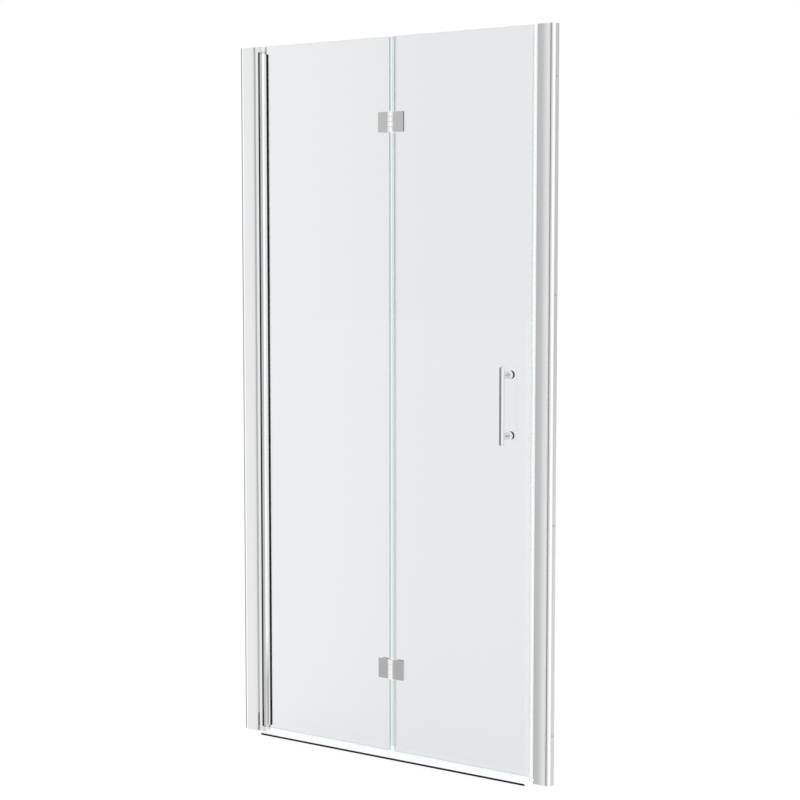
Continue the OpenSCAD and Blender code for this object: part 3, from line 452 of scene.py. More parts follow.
def banded(material, axis, band, colour, heights=None):
    """Gives a metal painted shade: a darker colour in a band across an axis, which may fade out
    between two heights."""
    tree = material.node_tree
    base = tree.nodes["Principled BSDF"].inputs["Base Color"]
    place = tree.nodes.new("ShaderNodeSeparateXYZ")
    tree.links.new(object_place(tree), place.inputs["Vector"])
    factor = worked(tree, "COMPARE", place.outputs[axis], *band)
    if heights:
        factor = worked(tree, "MULTIPLY", factor,
                        ranged(tree, place.outputs["Z"], 1.0, 0.0, *heights))
    tree.links.new(blended(tree, factor, base.links[0].from_socket, colour), base)
    return material


def hinge_finish(look):
    """Satin chrome with painted shade: a little darker low down."""
    material = metal_finish("satin_chrome", look.satin, 0.07, 0.11, HINGE_GRAIN, BRUSHED, 0.06)
    tree = material.node_tree
    place = tree.nodes.new("ShaderNodeSeparateXYZ")
    tree.links.new(object_place(tree), place.inputs["Vector"])
    # Painted shade: the plates darken towards the floor.
    rise = ranged(tree, place.outputs["Z"], 0.0, 1.0, *HINGE_SHADE_HEIGHTS)
    tree.links.new(blended(tree, rise, shade(tuple(look.satin), 0.86), tuple(look.satin)),
                   tree.nodes["Principled BSDF"].inputs["Base Color"])
    return material


def moulded_finish(name, colour, roughness, grain, bump, **sockets):
    """Moulded plastic or rubber: a faint cloudiness in the colour, a roughness that varies
    with it, and a fine grain in the bump."""
    colour = tuple(colour)
    material, tree, shader = new_finish(name, **sockets)
    cloud = noise(tree, 30.0, (1, 1, 0.5), detail=3)
    tree.links.new(blended(tree, cloud, shade(colour, 0.96), shade(colour, 1.03)),
                   shader.inputs["Base Color"])
    tree.links.new(ranged(tree, cloud, roughness * 0.85, roughness * 1.15),
                   shader.inputs["Roughness"])
    bumped(tree, shader, noise(tree, grain, detail=5), bump, GRAIN_DEPTH)
    return material


def clear_vinyl_finish(look, name="clear_vinyl", depth=1.0):
    """Extruded clear vinyl: see-through, slightly cloudy, with long die lines and a faint
    painted glow. A depth below one darkens it as painted shade.
    """
    material, tree, shader = new_finish(name, Transmission_Weight=1.0, IOR=1.09,
                                        Emission_Strength=0.03)
    cloud = noise(tree, 14.0, (1, 1, 0.1), detail=3)
    colour = shade(tuple(look.clear_vinyl), depth)
    tree.links.new(blended(tree, cloud, shade(colour, 0.985), shade(colour, 1.01)),
                   shader.inputs["Base Color"])
    lines = noise(tree, 800.0, (1, 1, 0.01), detail=4)
    tree.links.new(ranged(tree, lines, 0.03, 0.1), shader.inputs["Roughness"])
    bumped(tree, shader, lines, 0.03, LINE_DEPTH)
    return material


def pane_finish(look):
    """The faces of a pane: clear float glass with painted shade that darkens it slowly along
    the door, with the faintest waviness."""
    material, tree, shader = new_finish("clear_glass", Transmission_Weight=1.0, IOR=1.5)
    along = tree.nodes.new("ShaderNodeSeparateXYZ")
    tree.links.new(object_place(tree), along.inputs["Vector"])
    fade = ranged(tree, along.outputs["X"], 0.0, 1.0, *GLASS_SHADE_FADE)
    tree.links.new(blended(tree, fade, tuple(look.glass_pivot), tuple(look.glass_handle)),
                   shader.inputs["Base Color"])
    waves = noise(tree, 3.0, detail=2)
    tree.links.new(ranged(tree, waves, 0.0, 0.004), shader.inputs["Roughness"])
    return material


def pane_edge_finish(look, name="glass_edge", glow=(0.03, 0.06, 0.057)):
    """The polished edges of a pane: green from the depth of glass behind them, with a painted
    glow of their own and fine grinding lines along the edge."""
    material, tree, shader = new_finish(name, Transmission_Weight=0.15, IOR=1.5,
                                        Coat_Weight=0.3, Coat_Roughness=0.08,
                                        Emission_Color=glow, Emission_Strength=1.0)
    depth = noise(tree, 60.0, (1, 1, 0.15), detail=4)
    colour = tuple(look.glass_edge)
    tree.links.new(blended(tree, depth, shade(colour, 0.94), shade(colour, 1.06)),
                   shader.inputs["Base Color"])
    lines = noise(tree, 1500.0, (1, 1, 0.02), detail=4)
    tree.links.new(ranged(tree, lines, 0.12, 0.3), shader.inputs["Roughness"])
    bumped(tree, shader, lines, 0.08, LINE_DEPTH)
    return material


FINISHES = {
    "aluminium": lambda look: metal_finish(
        "bright_aluminium", look.aluminium, 0.03, 0.07, GRAIN, DRAWN_UP, 0.05),
    "channel": lambda look: metal_finish(
        "channel_aluminium", look.aluminium, 0.06, 0.12, GRAIN, DRAWN_UP, 0.05),
    # Paler, with painted shade in the seam beside the jamb and on the outer side.
    "magnet_channel": lambda look: banded(banded(metal_finish(
        "magnet_channel_aluminium", look.aluminium, 0.06, 0.12, GRAIN, DRAWN_UP, 0.05,
        Metallic=0.55), "X", MAGNET_SEAM_SHADE, (0.38, 0.38, 0.38)),
        "X", CHANNEL_SIDE_SHADE, (0.74, 0.74, 0.745)),
    # The narrow step beside the pivot jamb's nose, painted dark as shade and darkest at its foot.
    "step": lambda look: banded(metal_finish(
        "step_aluminium", (0.42, 0.42, 0.42), 0.06, 0.12, GRAIN, DRAWN_UP, 0.05),
        "Z", STEP_FOOT_SHADE, (0.15, 0.15, 0.15)),
    # The pivot post, with a painted dark reflection in a band low down on its arm.
    "arm": lambda look: banded(metal_finish(
        "post_aluminium", look.aluminium, 0.03, 0.07, GRAIN, DRAWN_UP, 0.05),
        "X", ARM_SHADE_BAND, (0.46, 0.46, 0.46), ARM_SHADE_BAND_HEIGHTS),
    # The sill glows a little: painted light.
    "sill": lambda look: metal_finish(
        "sill_aluminium", (0.98, 0.98, 0.98), 0.2, 0.3, GRAIN, DRAWN_ALONG, 0.05,
        Metallic=0.1, Emission_Strength=0.22),
    "block": lambda look: metal_finish(
        "block_metal", (0.86, 0.86, 0.865), 0.1, 0.16, POLISH_GRAIN, EVEN, 0.03, Metallic=0.4),
    "chrome": lambda look: metal_finish(
        "polished_chrome", look.chrome, 0.03, 0.06, POLISH_GRAIN, EVEN, 0.03),
    # The handle's bar, with a painted dark reflection on the side towards the pivot post.
    "bar": lambda look: banded(metal_finish(
        "bar_chrome", shade(look.chrome, 1.06), 0.03, 0.06, POLISH_GRAIN, EVEN, 0.03),
        "X", BAR_DARK_REFLECTION, (0.48, 0.48, 0.485)),
    # The flange glows a little: painted light.
    "flange": lambda look: metal_finish(
        "bright_flange", (0.97, 0.97, 0.97), 0.1, 0.16, POLISH_GRAIN, EVEN, 0.03,
        Metallic=0.3, Emission_Strength=0.06),
    "hinge": hinge_finish,
    "barrel": lambda look: metal_finish(
        "bright_barrel", look.barrel, 0.2, 0.28, HINGE_GRAIN, BRUSHED, 0.06, Metallic=0.3),
    "steel": lambda look: metal_finish(
        "screw_steel", look.steel, 0.2, 0.34, 1400.0, EVEN, 0.1),
    "nylon": lambda look: moulded_finish("pale_nylon", look.nylon, 0.42, 900.0, 0.15),
    # The white strips glow a little: painted light.
    "white_vinyl": lambda look: moulded_finish(
        "white_vinyl", look.white_vinyl, 0.3, 600.0, 0.05, Emission_Strength=0.08),
    "rubber": lambda look: moulded_finish(
        "black_rubber", look.rubber, 0.6, 1200.0, 0.2, Specular_IOR_Level=0.12),
    "strip": lambda look: moulded_finish(
        "floor_strip", look.floor_strip, 0.8, 1200.0, 0.1, Specular_IOR_Level=0.05),
    "clear_vinyl": clear_vinyl_finish,
    # The seal between the panes, darkened as painted shade where two edges stand behind it.
    "fold_vinyl": lambda look: clear_vinyl_finish(look, "fold_vinyl", 0.87),
    "pane": pane_finish,
    "pane_edge": pane_edge_finish,
    # The handle pane's upright edges, made paler by a stronger painted glow behind glass and
    # clear vinyl.
    "upright_edge": lambda look: pane_edge_finish(
        look, "upright_glass_edge", (0.25, 0.21, 0.215)),
}
_made = {}


def finish(name):
    """The named finish, made from the scene's colours the first time it is asked for."""
    if name not in _made:
        _made[name] = FINISHES[name](bpy.context.scene.door_look)
    return _made[name]


# ---------- Settings ----------

def colour_setting(name, description, default):
    return FloatVectorProperty(name=name, description=description, default=default,
                               subtype="COLOR", size=3, min=0.0, max=1.0)


def length_setting(name, description, default):
    return FloatProperty(name=name, description=description, default=default, min=0.0,
                         subtype="DISTANCE", unit="LENGTH")


class DoorLook(bpy.types.PropertyGroup):
    """Colours of the door's finishes."""
    aluminium: colour_setting("Aluminium", "Polished profiles", (0.93, 0.935, 0.945))
    chrome: colour_setting("Chrome", "Handle, caps and covers", (0.74, 0.745, 0.75))
    satin: colour_setting("Satin chrome", "Plates of the hinges", (0.685, 0.685, 0.69))
    barrel: colour_setting("Barrel", "Knuckles of the hinges", (0.97, 0.97, 0.97))
    steel: colour_setting("Steel", "Screws, pins and washers", (0.62, 0.62, 0.63))
    nylon: colour_setting("Nylon", "Bushes, sleeves and caps", (0.80, 0.80, 0.77))
    white_vinyl: colour_setting("White vinyl", "Magnet strips", (0.985, 0.985, 0.98))
    clear_vinyl: colour_setting("Clear vinyl", "Seals", (0.94, 0.947, 0.953))
    rubber: colour_setting("Rubber", "Glazing gasket and pads", (0.006, 0.006, 0.006))
    floor_strip: colour_setting("Floor strip", "Strip in front of the sill",
                                (0.012, 0.012, 0.012))
    # Painted shade: the glass goes darker from the pivot side to beyond the fold.
    glass_pivot: colour_setting("Glass, pivot side", "Tint at the pivot post",
                                (0.85, 0.862, 0.877))
    glass_handle: colour_setting("Glass, handle side", "Tint beyond the fold",
                                 (0.81, 0.822, 0.832))
    glass_edge: colour_setting("Glass edge", "Polished edges of the panes", (0.50, 0.84, 0.80))


class DoorEdges(bpy.types.PropertyGroup):
    """Rounding of the profiles, strips and seals."""
    profile: length_setting("Profile", "Radius of the profiles' corners", 0.4 * MM)
    rubber: length_setting("Rubber", "Radius of the gasket's corners", 0.5 * MM)
    strip: length_setting("Strip", "Radius of the white strips' corners", 0.4 * MM)
    seal: length_setting("Seal", "Radius of the clear seals' corners", 0.25 * MM)
    cover: length_setting("Cover", "Radius round the screw covers", 1.0 * MM)
    arris: length_setting("Arris", "Width of the ground edges of the panes", 0.6 * MM)
    slope: FloatProperty(name="Slope", description="Fall of the pivot jamb's edge per metre",
                         default=0.015, min=0.0, max=0.1)


class DoorHinge(bpy.types.PropertyGroup):
    """Rounding of the hinges."""
    corner: length_setting("Corner", "Radius of a plate's corners", 1.0 * MM)
    edge: length_setting("Edge", "Radius along a plate's edges", 0.4 * MM)
    rim: length_setting("Rim", "Radius at the ends of a knuckle", 0.5 * MM)
    rise: length_setting("Rise", "Depth of the plates' faces behind the pin's axis", 1.0 * MM)
    gap: length_setting("Knuckle gap", "Gap between two knuckles", 0.7 * MM)
    knuckles: IntProperty(name="Knuckles", description="Knuckles along the barrel", default=4,
                          min=2, max=8)


class DoorHandle(bpy.types.PropertyGroup):
    """Rounding of the handle."""
    bar_end: length_setting("Bar end", "Radius at the ends of the bar", 3.5 * MM)
    post_edge: length_setting("Post edge", "Radius at the ends of a post", 0.5 * MM)
    flange_edge: length_setting("Flange edge", "Radius round a flange", 0.8 * MM)
    cap_edge: length_setting("Cap edge", "Radius round a rear cap", 1.0 * MM)


class DoorStudio(bpy.types.PropertyGroup):
    """Camera, floor and light."""
    lens: FloatProperty(name="Lens", description="Focal length of the camera", default=79.18,
                        min=10.0, subtype="DISTANCE_CAMERA")
    fill: FloatProperty(name="Fill", description="Strength of the even studio light",
                        default=1.0, min=0.0)
    floor: colour_setting("Floor", "Colour of the floor", (0.2, 0.2, 0.2))


# ---------- Stage ----------

# What polished metal sees round the studio: pairs of azimuth and brightness. The azimuth is
# in degrees from the front (-Y) towards the pivot side (-X).
STUDIO_RING = [
    (-180, 0.90), (-160, 0.84), (-153, 0.70), (-151.6, 0.60), (-150.4, 0.60), (-149.9, 0.04),
    (-140, 0.04), (-137, 0.62), (-125, 0.78), (-111, 0.85), (-95, 1.10), (-60, 1.18),
    (-40, 1.14), (-25, 1.06), (-12, 0.88), (-4, 0.68), (3, 0.56), (8, 0.40), (17, 0.49),
    (20.5, 0.51), (28, 0.58), (31, 0.635), (36.4, 0.76), (38, 0.83), (39, 0.895), (44, 0.88),
    (47, 0.60), (51, 0.32), (92, 0.34), (112, 0.60), (141, 0.72), (180, 0.90),
]


# Where the studio changes to white, as the sine of the angle above the horizon.
OVERHEAD = (0.15, 0.2)
UNDERFOOT = (-0.3, -0.36)

# The panel beside the magnet side, brighter low down: middle and half the width in degrees,
# the heights where it begins and ends, and how much it gains.
FLANK = (-152.6, 2.4)
FLANK_HEIGHTS = (-0.05, -0.14)
FLANK_GAIN = 0.3

# The even light on matt faces: its level at the horizon and what it gains straight above.
EVEN_LIGHT = 0.95
LIGHT_FROM_ABOVE = 0.16

# The light that reaches the floor, and what the floor glows more where it is seen directly.
FLOOR_LIGHT = 1.055
DIRECT_GLOW = 0.05

CAMERA_PLACE = (2.5489, -3.71115, 1.30695)
CAMERA_DIP = 4.791
CAMERA_TURN = 34.177
FLOOR_RADIUS = 30
FLOOR_DEPTH = 0.2 * MM
FLOOR_SIDES = 96


def studio_world(fill):
    """White for whatever is seen directly or through glass, a ring of light and dark panels
    for whatever metal and glass reflect, and an even light that is stronger from above."""
    world = bpy.data.worlds.new("studio")
    world.use_nodes = True
    world.cycles.sampling_method = "NONE"
    tree = world.node_tree
    background = tree.nodes["Background"]
    way = tree.nodes.new("ShaderNodeSeparateXYZ")
    place = tree.nodes.new("ShaderNodeTexCoord")
    tree.links.new(place.outputs["Generated"], way.inputs["Vector"])
    x, y, z = (way.outputs[name] for name in "XYZ")

    azimuth = worked(tree, "ARCTAN2", worked(tree, "MULTIPLY", x, -1.0),
                     worked(tree, "MULTIPLY", y, -1.0))
    ring = tree.nodes.new("ShaderNodeValToRGB")
    stops = ring.color_ramp.elements
    for _ in range(len(STUDIO_RING) - 2):
        stops.new(0.5)
    for stop, (degrees, light) in zip(stops, STUDIO_RING):
        stop.position = degrees / 360 + 0.5
        stop.color = (light, light, light, 1)
    tree.links.new(worked(tree, "MULTIPLY_ADD", azimuth, 1 / (2 * math.pi), 0.5),
                   ring.inputs["Fac"])

    middle, reach = (math.radians(degrees) for degrees in FLANK)
    flank = worked(tree, "COMPARE", azimuth, middle, reach)
    low = worked(tree, "MULTIPLY", ranged(tree, z, 0.0, 1.0, *FLANK_HEIGHTS), FLANK_GAIN)
    level = worked(tree, "MULTIPLY_ADD", flank, low, ring.outputs["Color"])
    white = (1, 1, 1)
    away = worked(tree, "MAXIMUM", ranged(tree, z, 0.0, 1.0, *OVERHEAD),
                  ranged(tree, z, 0.0, 1.0, *UNDERFOOT))

    path = tree.nodes.new("ShaderNodeLightPath")
    reflected = worked(tree, "MINIMUM", path.outputs["Glossy Depth"], 1.0)
    seen = blended(tree, reflected, white, blended(tree, away, level, white))
    above = worked(tree, "MULTIPLY_ADD", z, LIGHT_FROM_ABOVE, fill * EVEN_LIGHT)
    tree.links.new(blended(tree, path.outputs["Is Diffuse Ray"], seen, above),
                   background.inputs["Color"])
    background.inputs["Strength"].default_value = 1.0
    bpy.context.scene.world = world


def floor_finish(colour):
    """A pale matt floor with a little glow of its own, which together bring it up to the white
    of the background and leave the shadow. What is seen through glass glows a little less."""
    material, tree, shader = new_finish("studio_floor", Roughness=0.9, Specular_IOR_Level=0.0)
    speckle = noise(tree, 40.0, detail=3)
    tree.links.new(blended(tree, speckle, shade(colour, 0.995), shade(colour, 1.005)),
                   shader.inputs["Base Color"])
    shader.inputs["Emission Color"].default_value = (1, 1, 1, 1)
    path = tree.nodes.new("ShaderNodeLightPath")
    glow = 1.0 - FLOOR_LIGHT * colour[0]
    seen = path.outputs["Is Camera Ray"]
    tree.links.new(ranged(tree, seen, glow, glow + DIRECT_GLOW, 0.0, 1.0),
                   shader.inputs["Emission Strength"])
    return material


class BIFOLD_OT_stage(bpy.types.Operator):
    """Make the camera, the floor and the studio light"""
    bl_idname = "bifold.stage"
    bl_label = "Stage"

    def execute(self, context):
        scene = context.scene
        studio = scene.door_studio
        camera = bpy.data.objects.new("camera", bpy.data.cameras.new("camera"))
        scene.collection.objects.link(camera)
        camera.location = CAMERA_PLACE
        camera.rotation_euler = (math.radians(90 - CAMERA_DIP), 0, math.radians(CAMERA_TURN))
        camera.data.lens = studio.lens
        camera.data.sensor_width = 36
        camera.data.clip_end = 100
        scene.camera = camera
        a = np.linspace(0, 2 * np.pi, FLOOR_SIDES, endpoint=False)
        rim = np.stack([FLOOR_RADIUS * np.cos(a), FLOOR_RADIUS * np.sin(a),
                        np.full(FLOOR_SIDES, -FLOOR_DEPTH)], axis=-1)
        mesh = bpy.data.meshes.new("floor")
        mesh.from_pydata(rim.tolist(), [], [list(range(FLOOR_SIDES))])
        mesh.materials.append(floor_finish(tuple(studio.floor)))
        floor = bpy.data.objects.new("floor", mesh)
        scene.collection.objects.link(floor)
        floor.visible_glossy = False
        studio_world(studio.fill)
        scene.view_settings.view_transform = "Standard"
        return {"FINISHED"}


# ---------- Frame ----------

EASE = 0.2 * MM       # radius at an edge that meets another piece
FALL_WIDTH = 7 * MM   # width of the pivot jamb's front that falls back towards its nose
NOSE_SINK = 0.5 * MM  # how far the nose reaches into the jamb
# The nose's end is painted black as the shadow in the gap beside the post.
NOSE_SHADOW_END = 1.6 * MM   # width of the nose's dark end


class BIFOLD_OT_channels(bpy.types.Operator):
    """Finish the wall channels with their caps and screws, and make the screws' covers"""
    bl_idname = "bifold.channels"
    bl_label = "Wall channels"

    def execute(self, context):
        dress(["wall_channel_left"], finish("channel"))
        dress(["wall_channel_right"], finish("magnet_channel"))
        dress(["channel_caps"], finish("nylon"))
        dress(["adjusting_screws"], finish("steel"))
        edge = context.scene.door_edges.cover
        add_piece("covers", make_mesh("covers", lathed("screw_covers", 0.1 * MM, edge)),
                  finish("chrome"), "frame", "screw_covers")
        return {"FINISHED"}


class BIFOLD_OT_jambs(bpy.types.Operator):
    """Make the jambs, and finish the pivot blocks and their bushes"""
    bl_idname = "bifold.jambs"
    bl_label = "Jambs"

    def execute(self, context):
        size = context.scene.door_edges
        low, high = span_of("jamb_pivot")
        door_x = low[0] + (span_of("jamb_magnet")[1] - span_of("jamb_magnet")[0])[0]
        start = door_x - FALL_WIDTH

        def falling(points, normals):
            """The last part of the front face falls back in a straight slope."""
            front = points[:, 1] < low[1] + 1e-6
            first = np.nonzero(front & np.roll(front, -1))[0]
            for k in first:
                a, b = points[k], points[(k + 1) % len(points)]
                if min(a[0], b[0]) < start < max(a[0], b[0]):
                    points = np.insert(points, k + 1, [start, low[1]], axis=0)
                    normals = np.insert(normals, k + 1, [0, -1], axis=0)
                    break
            fall = np.clip(points[:, 0] - start, 0, FALL_WIDTH + 0.1 * MM) * size.slope
            fall[points[:, 1] >= low[1] + 1 * MM] = 0
            return points + np.stack([0 * fall, fall], axis=1), normals

        (z0, z1, (nose,)), = sections("jamb_pivot", "z", beyond=door_x)
        nose[:, 0] = np.where(nose[:, 0] < door_x + 1e-5, door_x - NOSE_SINK, nose[:, 0])

        def numbered(middles, normals):
            """Black rubber as painted shadow (1) on the nose's end, the step's painted shade (2)
            beside it, else the jamb's metal (0).
            """
            beside = np.abs(middles[:, 0] - door_x) < 1e-4
            number = np.where(middles[:, 0] > high[0] - NOSE_SHADOW_END, 1, 2 * beside)
            return np.where(np.abs(normals[:, 1:]).max(axis=1) > 0.9, 0, number)

        profile_piece("pivot_jamb", "jamb_pivot", "z", size.profile, "frame",
                      [finish("aluminium"), finish("rubber"), finish("step")],
                      reshape=falling,
                      more=[extruded([softened(nose, size.profile)], z0, z1)], pick=numbered)
        profile_piece("magnet_jamb", "jamb_magnet", "z", size.profile, "frame",
                      finish("aluminium"))
        dress(["pivot_block_top", "pivot_block_bottom"], finish("block"))
        dress(["pivot_bush_top", "pivot_bush_bottom"], finish("nylon"))
        dress(["block_screws"], finish("steel"))
        return {"FINISHED"}


class BIFOLD_OT_magnet_strips(bpy.types.Operator):
    """Make the white magnet strips of the jamb and the door"""
    bl_idname = "bifold.magnet_strips"
    bl_label = "Magnet strips"

    def execute(self, context):
        radius = context.scene.door_edges.strip
        for side, body in (("jamb", "frame"), ("door", "handle_panel")):
            profile_piece(f"{side}_strip", f"{side}_magnet_seal", "z", radius, body,
                          finish("white_vinyl"))
        dress(["jamb_magnet_core", "door_magnet_core"], finish("rubber"))
        return {"FINISHED"}


class BIFOLD_OT_sill(bpy.types.Operator):
    """Make the sill and its floor strip, and finish the end caps"""
    bl_idname = "bifold.sill"
    bl_label = "Sill"

    def execute(self, context):
        radius = context.scene.door_edges.profile
        profile_piece("sill_profile", "sill", "x", radius, "frame", finish("sill"))
        profile_piece("floor_strip", "sill_gasket", "x", radius, "frame", finish("strip"),
                      edge=0.5 * MM)
        dress(["sill_cap_left", "sill_cap_right"], finish("sill"))
        return {"FINISHED"}


# ---------- Panels ----------

class BIFOLD_OT_pivot_post(bpy.types.Operator):
    """Make the pivot post, its gasket and its rear bead, and finish its plugs and pins"""
    bl_idname = "bifold.pivot_post"
    bl_label = "Pivot post"

    def execute(self, context):
        size = context.scene.door_edges
        profile_piece("post_profile", "pivot_post", "z", size.profile, "pivot_panel",
                      finish("arm"))
        profile_piece("gasket_profile", "glazing_gasket", "z", size.rubber, "pivot_panel",
                      finish("rubber"))
        profile_piece("bead_profile", "glazing_bead", "z", size.rubber, "pivot_panel",
                      finish("clear_vinyl"))
        dress(["post_plug_top", "post_plug_bottom"], finish("chrome"))
        dress(["pivot_pin_top", "pivot_pin_bottom"], finish("steel"))
        dress(["glass_bed"], finish("rubber"))
        return {"FINISHED"}


def arrised_pane(node, body, arris):
    """A pane with its edges ground: the node's outline and holes, with a small flat along
    every edge. Faces that don't look forwards or back take the edge finish, and the handle
    pane's upright edges one with a stronger painted glow."""
    mesh = frame["nodes"][node].data.copy()
    mesh.materials.clear()
    bm = bmesh.new()
    bm.from_mesh(mesh)
    bmesh.ops.remove_doubles(bm, verts=bm.verts, dist=1e-6)
    bmesh.ops.dissolve_limit(bm, angle_limit=math.radians(0.5), verts=bm.verts, edges=bm.edges)
    bmesh.ops.recalc_face_normals(bm, faces=bm.faces)
    bm.to_mesh(mesh)
    bm.free()
    mesh.name = node.replace("glass", "pane")
    piece = add_piece(mesh.name, mesh,
                      [finish(name) for name in ("pane", "pane_edge", "upright_edge")],
                      body, node)
    normals = np.zeros(len(mesh.polygons) * 3)
    mesh.polygons.foreach_get("normal", normals)
    normals = normals.reshape(-1, 3)
    edge = np.abs(normals[:, 1]) < 0.5
    upright = (body == "handle_panel") & (np.abs(normals[:, 0]) > 0.5)
    mesh.polygons.foreach_set("material_index", edge.astype(np.int32) + upright)
    bevel = piece.modifiers.new("arris", "BEVEL")
    bevel.width = arris
    bevel.segments = 1
    bevel.limit_method = "ANGLE"
    bevel.angle_limit = math.radians(60)
    bevel.material = 1
    return piece


class BIFOLD_OT_panes(bpy.types.Operator):
    """Make the two panes of glass"""
    bl_idname = "bifold.panes"
    bl_label = "Panes"

    def execute(self, context):
        arris = context.scene.door_edges.arris
        arrised_pane("glass_pivot", "pivot_panel", arris)
        arrised_pane("glass_handle", "handle_panel", arris)
        return {"FINISHED"}


class BIFOLD_OT_seals(bpy.types.Operator):
    """Make the clear seals on the edges of the panes"""
    bl_idname = "bifold.seals"
    bl_label = "Clear seals"

    def execute(self, context):
        radius = context.scene.door_edges.seal
        for node, axis, body in (("drip_seal_pivot", "x", "pivot_panel"),
                                 ("drip_seal_handle", "x", "handle_panel"),
                                 ("fold_seal", "z", "handle_panel"),
                                 ("edge_seal", "z", "handle_panel")):
            profile_piece(node.replace("seal", "profile"), node, axis, radius, body,
                          finish("fold_vinyl" if node == "fold_seal" else "clear_vinyl"))
        return {"FINISHED"}


KNUCKLE_BORE = 2.55 * MM
WEB_INNER = 3 * MM      # from the pin's axis to where a knuckle's web begins
WEB_OVERLAP = 1 * MM    # how far the web reaches into the plate
WEB_SINK = 0.02 * MM    # how far the web lies below the faces round it
WEB_EDGE = 0.3 * MM


def plate_shell(low, high, corner, edge):
    """A flat plate seen from the front as a rectangle with rounded corners, carried from front
    to back, with its long edges rounded."""
    x0, z0, x1, z1 = low[0], low[2], high[0], high[2]
    outline = softened([(z0, x0), (z1, x0), (z1, x1), (z0, x1)], corner, 7)
    return placed(extruded([outline], low[1], high[1], edge), "y")


def knuckle_shell(centre, radius, bore, z0, z1, rim):
    """One knuckle: a ring section with rounded rims turned about the pin."""
    section, _ = softened([(bore, z0), (radius, z0), (radius, z1), (bore, z1)],
                          np.array([0.3, 1, 1, 0.3]) * rim)
    points, _ = turned(section, 64)
    faces = grid_quads(len(section), 64, wrap_rows=True).tolist()
    return points + np.array([*centre, 0]), faces


class BIFOLD_OT_hinges(bpy.types.Operator):
    """Make the hinge leaves and clamp plates, and finish their pins, pads and screws"""
    bl_idname = "bifold.hinges"
    bl_label = "Hinges"

    def execute(self, context):
        size = context.scene.door_hinge
        fold = next(j for j in frame["joints"] if j["name"] == "fold")
        centre = np.array(fold["pos_m"][:2])
        for level in ("top", "bottom"):
            for side, first, pane in ((-1, 0, "pivot"), (1, 1, "handle")):
                body = pane + "_panel"
                leaf, back = f"hinge_leaf_{pane}_{level}", f"hinge_back_{pane}_{level}"
                low, high = span_of(leaf)
                inner, outer = span_of(back)
                z0, z1 = inner[2], outer[2]
                radius = centre[1] - low[1]
                middle = (inner[0] + outer[0]) / 2
                half = middle - low[0] if side < 0 else high[0] - middle
                x0, x1 = middle - half, middle + half
                front, rear = centre[1] + size.rise, -inner[1]
                shells = [plate_shell((x0, front, z0), (x1, rear, z1),
                                      size.corner, size.edge)]
                pitch = (z1 - z0 + size.gap) / size.knuckles
                near = x1 - WEB_OVERLAP if side < 0 else x0 + WEB_OVERLAP
                x0, x1 = sorted((centre[0] + side * WEB_INNER, near))
                barrels = []
                for k in range(first, size.knuckles, 2):
                    zk = z0 + k * pitch
                    top = zk + pitch - size.gap
                    barrels.append(knuckle_shell(centre, radius, KNUCKLE_BORE, zk, top,
                                                 size.rim))
                    shells.append(plate_shell((x0, front + WEB_SINK, zk + WEB_SINK),
                                              (x1, rear - WEB_SINK, top - WEB_SINK),
                                              WEB_EDGE, WEB_EDGE))
                add_piece(leaf + "_plate", make_mesh(leaf + "_plate", shells), finish("hinge"),
                          body, leaf)
                add_piece(leaf + "_knuckles", make_mesh(leaf + "_knuckles", barrels),
                          finish("barrel"), body, leaf)
                profile_piece(back + "_plate", back, "y", size.corner, body, finish("hinge"),
                              edge=size.edge, end=1)
        dress(["hinge_pin_top", "hinge_pin_bottom", "hinge_screws_pivot", "hinge_screws_handle",
               "hinge_washers"], finish("steel"))
        dress(["hinge_pads_pivot", "hinge_pads_handle"], finish("rubber"))
        dress(["hinge_sleeves_pivot", "hinge_sleeves_handle"], finish("nylon"))
        return {"FINISHED"}


def lathed(node, first_edge, last_edge, axis="y"):
    """The round solids of a node made again as lathe shells, with their end edges rounded."""
    shells = []
    for _, _, own in solids(node):
        local = own @ AXES[axis].T
        low, high = local.min(axis=0), local.max(axis=0)
        radius = (high[0] - low[0]) / 2
        profile = filleted([(0, low[2]), (radius, low[2]), (radius, high[2]), (0, high[2])],
                           [first_edge, last_edge], 8)
        middle = (low + high) / 2
        at = np.array([middle[0], middle[1], 0]) @ AXES[axis]
        shells.append(placed(turned(profile, 96), axis, at))
    return shells


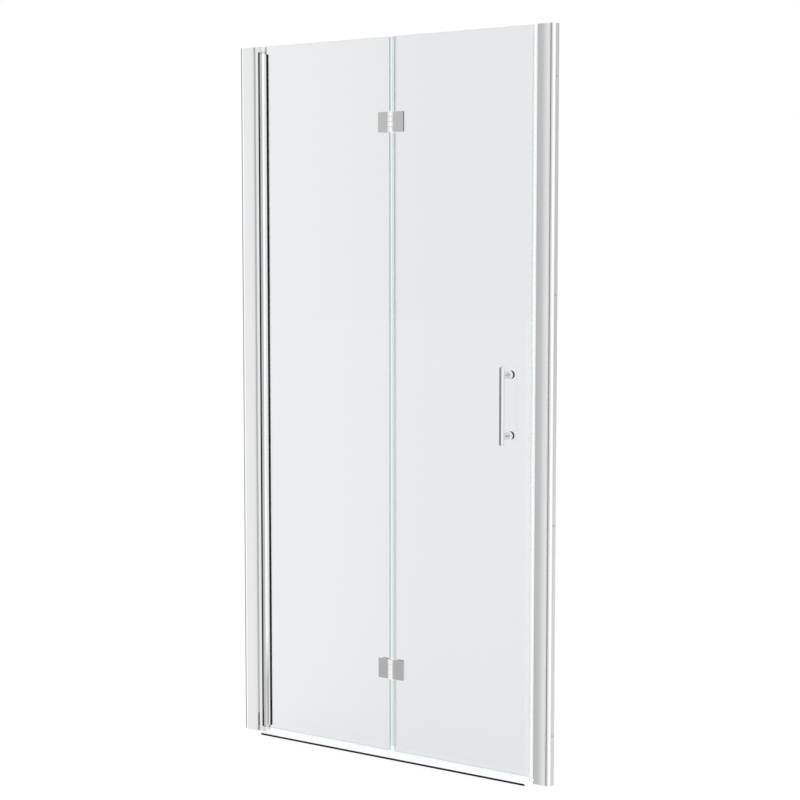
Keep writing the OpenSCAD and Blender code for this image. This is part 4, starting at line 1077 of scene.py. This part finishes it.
class BIFOLD_OT_handle(bpy.types.Operator):
    """Make the handle: bar, posts, flanges and rear caps"""
    bl_idname = "bifold.handle"
    bl_label = "Handle"

    def execute(self, context):
        size = context.scene.door_handle
        for name, node, axis, first, last in (
                ("bar", "handle_bar", "z", size.bar_end, size.bar_end),
                ("posts", "handle_posts", "y", size.post_edge, size.post_edge * 0.2),
                ("flanges", "handle_flanges", "y", size.flange_edge, EASE),
                ("rear_caps", "handle_caps", "y", EASE, size.cap_edge)):
            add_piece(name, make_mesh(name, lathed(node, first, last, axis)),
                      finish({"bar": "bar", "flanges": "flange"}.get(name, "chrome")),
                      "handle_panel", node)
        add_piece("rings", make_mesh("rings", lathed("handle_rings", EASE, 2 * EASE)),
                  finish("rubber"), "handle_panel", "handle_rings")
        dress(["handle_spacers"], finish("nylon"))
        dress(["handle_studs", "handle_grub_screws"], finish("steel"))
        return {"FINISHED"}


# ---------- Panel and registration ----------

OPERATORS = (
    BIFOLD_OT_stage, BIFOLD_OT_channels, BIFOLD_OT_jambs, BIFOLD_OT_magnet_strips,
    BIFOLD_OT_sill, BIFOLD_OT_pivot_post, BIFOLD_OT_panes, BIFOLD_OT_seals, BIFOLD_OT_hinges,
    BIFOLD_OT_handle,
)


class BIFOLD_PT_door(bpy.types.Panel):
    """Lists the settings and the pieces of the door"""
    bl_idname = "BIFOLD_PT_door"
    bl_label = "Shower Door"
    bl_space_type = "VIEW_3D"
    bl_region_type = "UI"
    bl_category = "Shower Door"

    def draw(self, context):
        layout = self.layout
        for title, group in (("Studio", context.scene.door_studio),
                             ("Finishes", context.scene.door_look),
                             ("Edges", context.scene.door_edges),
                             ("Hinges", context.scene.door_hinge),
                             ("Handle", context.scene.door_handle)):
            box = layout.box()
            box.label(text=title)
            for name in type(group).__annotations__:
                box.prop(group, name)
        for operator in OPERATORS:
            layout.operator(operator.bl_idname)


SETTINGS = {"door_look": DoorLook, "door_edges": DoorEdges, "door_hinge": DoorHinge,
            "door_handle": DoorHandle, "door_studio": DoorStudio}


def register():
    for cls in (*SETTINGS.values(), *OPERATORS, BIFOLD_PT_door):
        bpy.utils.register_class(cls)
    for name, group in SETTINGS.items():
        setattr(bpy.types.Scene, name, PointerProperty(type=group))


def unregister():
    for name in SETTINGS:
        delattr(bpy.types.Scene, name)
    for cls in reversed((*SETTINGS.values(), *OPERATORS, BIFOLD_PT_door)):
        bpy.utils.unregister_class(cls)


def main():
    register()
    for operator in OPERATORS:
        group, name = operator.bl_idname.split(".")
        getattr(getattr(bpy.ops, group), name)()


if __name__ == "__main__":
    main()
